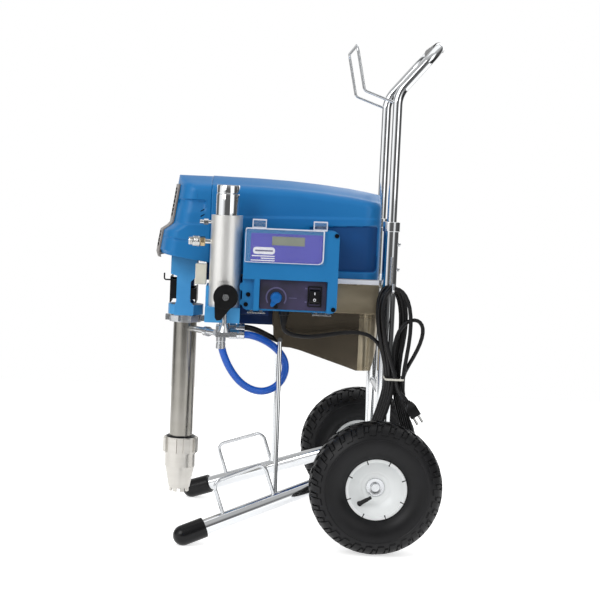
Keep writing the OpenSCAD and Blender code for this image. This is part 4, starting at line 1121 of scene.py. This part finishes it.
# An unlit display is grey-green film with a low gloss, and uneven every millimetre.
lcd = surface("unlit_lcd_film", "#7a7f6e", "#838876", (0.25, 0.32), 14, 1, 0.002, **MATT)
FACE = -200
label_outline = rounded([(-267, 567.5), (-124, 567.5, 9), (-124, 625.5), (-267, 625.5, 3)], 2)
build("label_foil", prism(label_outline, "y", FACE - 1.2, FACE - 0.2), foil, "cart",
      ("control_panel",), bevel_mm=0.2)
build("panel_foil", prism(oblong(-245, -112, 474.5, 533, 4), "y", -190.2, -188.4), slate, "cart")
build("display_film", prism(oblong(-225, -160, 602.5, 620, 1), "y", FACE - 1.9, FACE - 1.0), lcd, "cart")
print("panel foils ready")

# %% Printed marks
pill = oblong(-262, -218.5, 584, 598, 7)
pill_inner = oblong(-258, -222.5, 589.4, 592.4, 1.4)
bars = [oblong(x1, -218.5, z - 1.1, z + 1.1, 0.5) for x1, z in ((-264, 580.4), (-246, 576), (-266, 571.6))]
label_marks = [prism(line, "y", FACE - 1.6, FACE - 1.1) for line in [pill] + bars]
build("white_marks", joined(*label_marks), ink, "cart")
build("pill_line", prism(pill_inner, "y", FACE - 1.9, FACE - 1.5), lilac, "cart")
KNOB = (-212, 498)
ends = [2 * math.pi * (-35 + 250 * k / 60) / 360 for k in range(61)]
arc_out = [(KNOB[0] + 21 * math.cos(a), KNOB[1] + 21 * math.sin(a)) for a in ends]
arc_in = [(KNOB[0] + 18.2 * math.cos(a), KNOB[1] + 18.2 * math.sin(a)) for a in reversed(ends)]
dial = [prism(arc_out + arc_in, "y", -190.6, -190.1)]
panel_words = [oblong(-187, -171, 497.6, 498.8, 0.5), oblong(-155, -150.5, 517, 520, 0.5),
               oblong(-155, -150.5, 490, 493, 0.5)]
dial += [prism(line, "y", -190.6, -190.1) for line in panel_words]
build("dial_marks", joined(*dial), lilac, "cart")
BOSS = [(0, 0), (5, 0), (5, 5.2), (4.2, 6), (3, 6), (2.6, 4.6), (0, 4.6)]
boss = lathe(BOSS, (-213, -190, 480.6), (0, -1, 0), 32)
build("panel_boss", boss, nylon_black, "cart")
print("marks ready")

# %% [markdown]
# ## Knob, rocker and screws
# A knob has grip flutes and a tail that points at the dial. The rocker's face is a piece of a
# cylinder, and its I and O follow that curve.

# %% Knob
# Plastic coloured right through, with a grain of 1.2 mm that keeps its highlight soft.
knob_abs = surface("blue_moulded_knob", "#065ca4", "#0a64ae", (0.3, 0.4), 12, 1.2, 0.01, **MATT)
FLUTES, KNOB_R = 16, 11.5


def knob_outline(radius, flute):
    """A circle with shallow flutes."""
    outline = []
    for k in range(128):
        a = 2 * math.pi * k / 128
        reach = radius - flute * (0.5 + 0.5 * math.cos(FLUTES * a))
        outline.append((reach * math.cos(a) + KNOB[0], reach * math.sin(a) + KNOB[1]))
    return outline


# The knob from the panel outwards, as (y, radius, depth of the flutes)
KNOB_STEPS = ((-190.6, 11.2, 0), (-192.6, KNOB_R, 0), (-193.2, 11.3, 0.7), (-203.2, 10.6, 0.7),
              (-204.6, 9.9, 0.4), (-205, 8.8, 0))
knob_rings = [[(x, y, z) for x, z in knob_outline(radius, flute)] for y, radius, flute in KNOB_STEPS]
build("knob_piece", loft(knob_rings), knob_abs, "knob", ("pressure_knob",), crisp=40)
TAIL_TURN, TAIL_REACH, TAIL_ROOT, TAIL_TIP = math.radians(-118), 16.5, 9.2, 3.6
tail_line = [(0, TAIL_ROOT)]
tail_line += [(TAIL_REACH + TAIL_TIP * math.cos(a), TAIL_TIP * math.sin(a))
              for a in [math.radians(78 - 12 * k) for k in range(14)]]
tail_line += [(0, -TAIL_ROOT)]
tail_line = [(KNOB[0] + u * math.cos(TAIL_TURN) - v * math.sin(TAIL_TURN),
              KNOB[1] + u * math.sin(TAIL_TURN) + v * math.cos(TAIL_TURN)) for u, v in tail_line]
build("knob_tail", prism(tail_line, "y", -203.4, -197.4), knob_abs, "knob", bevel_mm=0.8)
print("knob ready")

# %% Rocker
ROCKER_X, ROCKER_Z, ROCKER_Y, ROCKER_R = -135.5, 502.5, -182, 17
refine("power_switch", nylon_black, 0.6)


def on_rocker(outline, out):
    """An outline in x and z, so far outside the rocker's round face."""
    return [(x, ROCKER_Y - math.sqrt((ROCKER_R + out) ** 2 - (z - ROCKER_Z) ** 2), z) for x, z in outline]


MARK_FOOT, MARK_TOP = -0.3, 0.2
one = [(ROCKER_X + x, ROCKER_Z + z) for x, z in
       ((-0.8, 4), (-0.8, 6.6), (-0.8, 9.2), (0.8, 9.2), (0.8, 6.6), (0.8, 4))]
mark_one = loft([on_rocker(one, MARK_FOOT), on_rocker(one, MARK_TOP)])
outer_ring, inner_ring = (circle(ROCKER_X, ROCKER_Z - 6, radius) for radius in (3, 1.8))
mark_ring = loft([on_rocker(outer_ring, MARK_FOOT), on_rocker(outer_ring, MARK_TOP),
                  on_rocker(inner_ring, MARK_TOP), on_rocker(inner_ring, MARK_FOOT)], around=True)
build("rocker_marks", joined(mark_one, mark_ring), ink, "rocker")
bezel = hoop(oblong(-149.5, -121.5, 482.5, 523.5, 2), oblong(-147, -124, 484.5, 521, 1), "y", -192.6, -190)
build("rocker_bezel", bezel, nylon_black, "cart", bevel_mm=0.4)
refine("box_screws", black_gap, 0.4)
# Solder mask is a green lacquer, uneven every millimetre where copper lies under it.
board_green = surface("solder_masked_board", "#1f5234", "#27623f", (0.3, 0.4), 6, 1, 0.01)
refine("circuit_board", board_green, 0.2)
print("switch and screws ready")

# %% Rails under the box
rails = []
for x1, x2 in ((-269, -233), (-139, -101)):
    rails.append(prism(oblong(x1, x2, 464.4, 467, 0.6), "y", -188, -150))
    rails += [prism(oblong(x - 3, x + 3, 466, 471.2, 0.6), "y", -180, -160) for x in (x1 + 8, x2 - 8)]
build("box_rails", joined(*rails), zinc, "cart", bevel_mm=0.3)
print("rails ready")

# %% [markdown]
# ## Clear display cover
# The cover and its hinges are clear polycarbonate. A thin clear sheet hardly shows except at its
# edges, which gather light and look white, so the edges are pieces of their own. An alpha below
# one lets the label show through without the noise that true refraction needs.

# %% Clear plastic
# Clear sheet shows by its reflections only, which ripples 17 mm long bend a little.
clear_pc, tree = blank_material("clear_polycarbonate")
shader = add(tree, "ShaderNodeBsdfPrincipled",
             {"Base Color": linear("#e8f0f8"), "Roughness": 0.06, "Alpha": 0.05})
add(tree, "ShaderNodeOutputMaterial", links={"Surface": shader.outputs[0]})
place = add(tree, "ShaderNodeTexCoord").outputs["Object"]
ripple = add(tree, "ShaderNodeTexNoise", {"Scale": 60.0}, {"Vector": place})
ripple_bump = add(tree, "ShaderNodeBump", {"Distance": 0.0001, "Strength": 0.3},
                  {"Height": ripple.outputs["Fac"]})
tree.links.new(ripple_bump.outputs["Normal"], shader.inputs["Normal"])
# The edge gathers light from the whole sheet and looks white, with marks 2 mm apart.
edge_pc = surface("light_gathering_edge", "#dfe2f0", "#eceef6", (0.2, 0.3), 10, 2, 0.004, Alpha=0.8)
print("clear plastic ready")

# %% Cover and hinges
refine("display_cover", clear_pc, 0.5)
refine("cover_hinges", clear_pc, 0.4)
lid_outer = rounded([(-278, 567.2), (-121.2, 567.2, 13), (-121.2, 635.8, 3), (-278, 635.8, 4)], 3)
lid_inner = rounded([(-276.6, 568.6), (-123.8, 568.6, 11), (-123.8, 633.2, 2), (-276.6, 633.2, 3)], 2)
build("lid_edge", hoop(lid_outer, lid_inner, "y", -206.2, -203.2), edge_pc, "lid",
      bevel_mm=0.3)
for side_name, hinge_x in (("left", -251), ("right", -130)):
    cap_outer = oblong(hinge_x - 14, hinge_x + 14, 634, 653, 1.5)
    cap_inner = oblong(hinge_x - 12, hinge_x + 12, 637.4, 650.4, 1)
    build("hinge_edge_" + side_name, hoop(cap_outer, cap_inner, "y", -201.3, -186), edge_pc, "cart",
          bevel_mm=0.3)
print("display cover ready")

# %% [markdown]
# ## Floor and light
# The sprayer stands on a plain pale floor. The floor adds a little light of its own for the
# camera and for reflections, so that it comes out white wherever no shadow falls, and the light
# on the object itself stays at a plain level.

# %% Floor
bpy.ops.mesh.primitive_plane_add(size=4.0, location=(0, 0, 0))
floor = bpy.context.object
floor.name = "floor"
floor_paint, tree = blank_material("pale_floor")
FLOOR_GLOW = 0.62
matt = add(tree, "ShaderNodeBsdfDiffuse", {"Color": linear("#f4f4f4")})
path = add(tree, "ShaderNodeLightPath")
seen = add(tree, "ShaderNodeMath", links={0: path.outputs["Is Camera Ray"],
                                          1: path.outputs["Is Glossy Ray"]},
           operation="MAXIMUM")
either = add(tree, "ShaderNodeMath", links={0: seen.outputs[0], 1: path.outputs["Is Transmission Ray"]},
             operation="MAXIMUM")
strength = add(tree, "ShaderNodeMath", {1: FLOOR_GLOW}, {0: either.outputs[0]}, operation="MULTIPLY")
glow = add(tree, "ShaderNodeEmission", {"Color": (1, 1, 1, 1)}, {"Strength": strength.outputs[0]})
both = add(tree, "ShaderNodeAddShader", links={0: matt.outputs[0], 1: glow.outputs[0]})
add(tree, "ShaderNodeOutputMaterial", links={"Surface": both.outputs[0]})
floor.data.materials.append(floor_paint)
print("floor ready")

# %% [markdown]
# ## What the metal reflects
# Chrome has no colour of its own: it shows the room. The room here is a studio seen by
# reflections only, with white walls, and dark cloths hung behind the camera and at both
# sides, which draw the long dark streaks that make a tube look round. The angle round the
# horizon picks the wall through a colour ramp. The ceiling is a plain grey, so that a top
# surface keeps its colour, and the room darkens towards the ground beyond the floor.

# %% World
world = bpy.data.worlds.new("studio")
bpy.context.scene.world = world
world.use_nodes = True
tree = world.node_tree
tree.nodes.clear()
AMBIENT = 0.55
# Walls by angle from the camera's side, from -180 degrees over 0 to 180, and their grey level
WALLS = [(-180, 0.4), (-154, 0.8), (-140, 0.85), (-126, 0.14), (-98, 0.1), (-86, 0.8), (-52, 0.95),
         (-38, 0.6), (-22, 0.09), (20, 0.09), (28, 0.7), (44, 0.7), (55, 0.09), (122, 0.04),
         (136, 0.4), (154, 0.8), (180, 0.4)]
path = add(tree, "ShaderNodeLightPath")
seen = add(tree, "ShaderNodeMath", links={0: path.outputs["Is Camera Ray"],
                                          1: path.outputs["Is Transmission Ray"]},
           operation="MAXIMUM")
ambient = add(tree, "ShaderNodeBackground", {"Color": linear("#ffffff"), "Strength": AMBIENT})
direction = add(tree, "ShaderNodeTexCoord").outputs["Generated"]
apart = add(tree, "ShaderNodeSeparateXYZ", links={0: direction})
away = add(tree, "ShaderNodeMath", {1: -1.0}, {0: apart.outputs["Y"]}, operation="MULTIPLY")
angle = add(tree, "ShaderNodeMath", links={0: apart.outputs["X"], 1: away.outputs[0]}, operation="ARCTAN2")
share = add(tree, "ShaderNodeMapRange", {"From Min": -math.pi, "From Max": math.pi},
            {"Value": angle.outputs[0]})
walls = add(tree, "ShaderNodeValToRGB", links={"Fac": share.outputs["Result"]})
for i, (degrees, grey) in enumerate(WALLS):
    spot = (degrees + 180) / 360
    if i < 2:
        element = walls.color_ramp.elements[i]
        element.position = spot
    else:
        element = walls.color_ramp.elements.new(spot)
    element.color = (grey, grey, grey, 1)
overhead = add(tree, "ShaderNodeMapRange", {"From Min": 0.3, "From Max": 0.7},
               {"Value": apart.outputs["Z"]})
# A colour Mix node has its two colours at inputs 6 and 7, and its result at output 2
CEILING = (0.4, 0.4, 0.4, 1)
room = add(tree, "ShaderNodeMix", {7: CEILING}, {0: overhead.outputs["Result"], 6: walls.outputs["Color"]},
           data_type="RGBA")
GROUND_LEVEL, ROOM_LEVEL = 0.42, 1.4
underfoot = add(tree, "ShaderNodeMapRange",
                {"From Min": -0.22, "From Max": -0.02, "To Min": GROUND_LEVEL, "To Max": ROOM_LEVEL},
                {"Value": apart.outputs["Z"]})
mirrored = add(tree, "ShaderNodeBackground",
               links={"Color": room.outputs[2], "Strength": underfoot.outputs[0]})
backdrop = add(tree, "ShaderNodeBackground", {"Color": (1, 1, 1, 1), "Strength": 1.0})
unseen = add(tree, "ShaderNodeMixShader", links={0: path.outputs["Is Glossy Ray"], 1: ambient.outputs[0],
                                                 2: mirrored.outputs[0]})
final = add(tree, "ShaderNodeMixShader", links={0: seen.outputs[0], 1: unseen.outputs[0],
                                                2: backdrop.outputs[0]})
add(tree, "ShaderNodeOutputWorld", links={"Surface": final.outputs[0]})
print("world ready")

# %% Lamps
LAMPS = [("key_light", (-1900, -2050, 2000), 31.0, 1.6), ("fill_light", (1500, -2000, 1500), 10.0, 1.8),
         ("top_light", (0, 300, 2600), 9.0, 2.0), ("back_light", (800, 2200, 1800), 12.0, 1.6)]
for lamp_name, lamp_place, watts, size in LAMPS:
    lamp_data = bpy.data.lights.new(lamp_name, "AREA")
    lamp_data.energy = watts
    lamp_data.shape = "SQUARE"
    lamp_data.size = size
    lamp = bpy.data.objects.new(lamp_name, lamp_data)
    bpy.context.scene.collection.objects.link(lamp)
    lamp.location = at(*lamp_place)
    lamp.rotation_euler = (at(-150, 0, 450) - lamp.location).to_track_quat("-Z", "Y").to_euler()
bpy.context.scene.view_settings.view_transform = "Standard"
print("lamps", len(LAMPS))
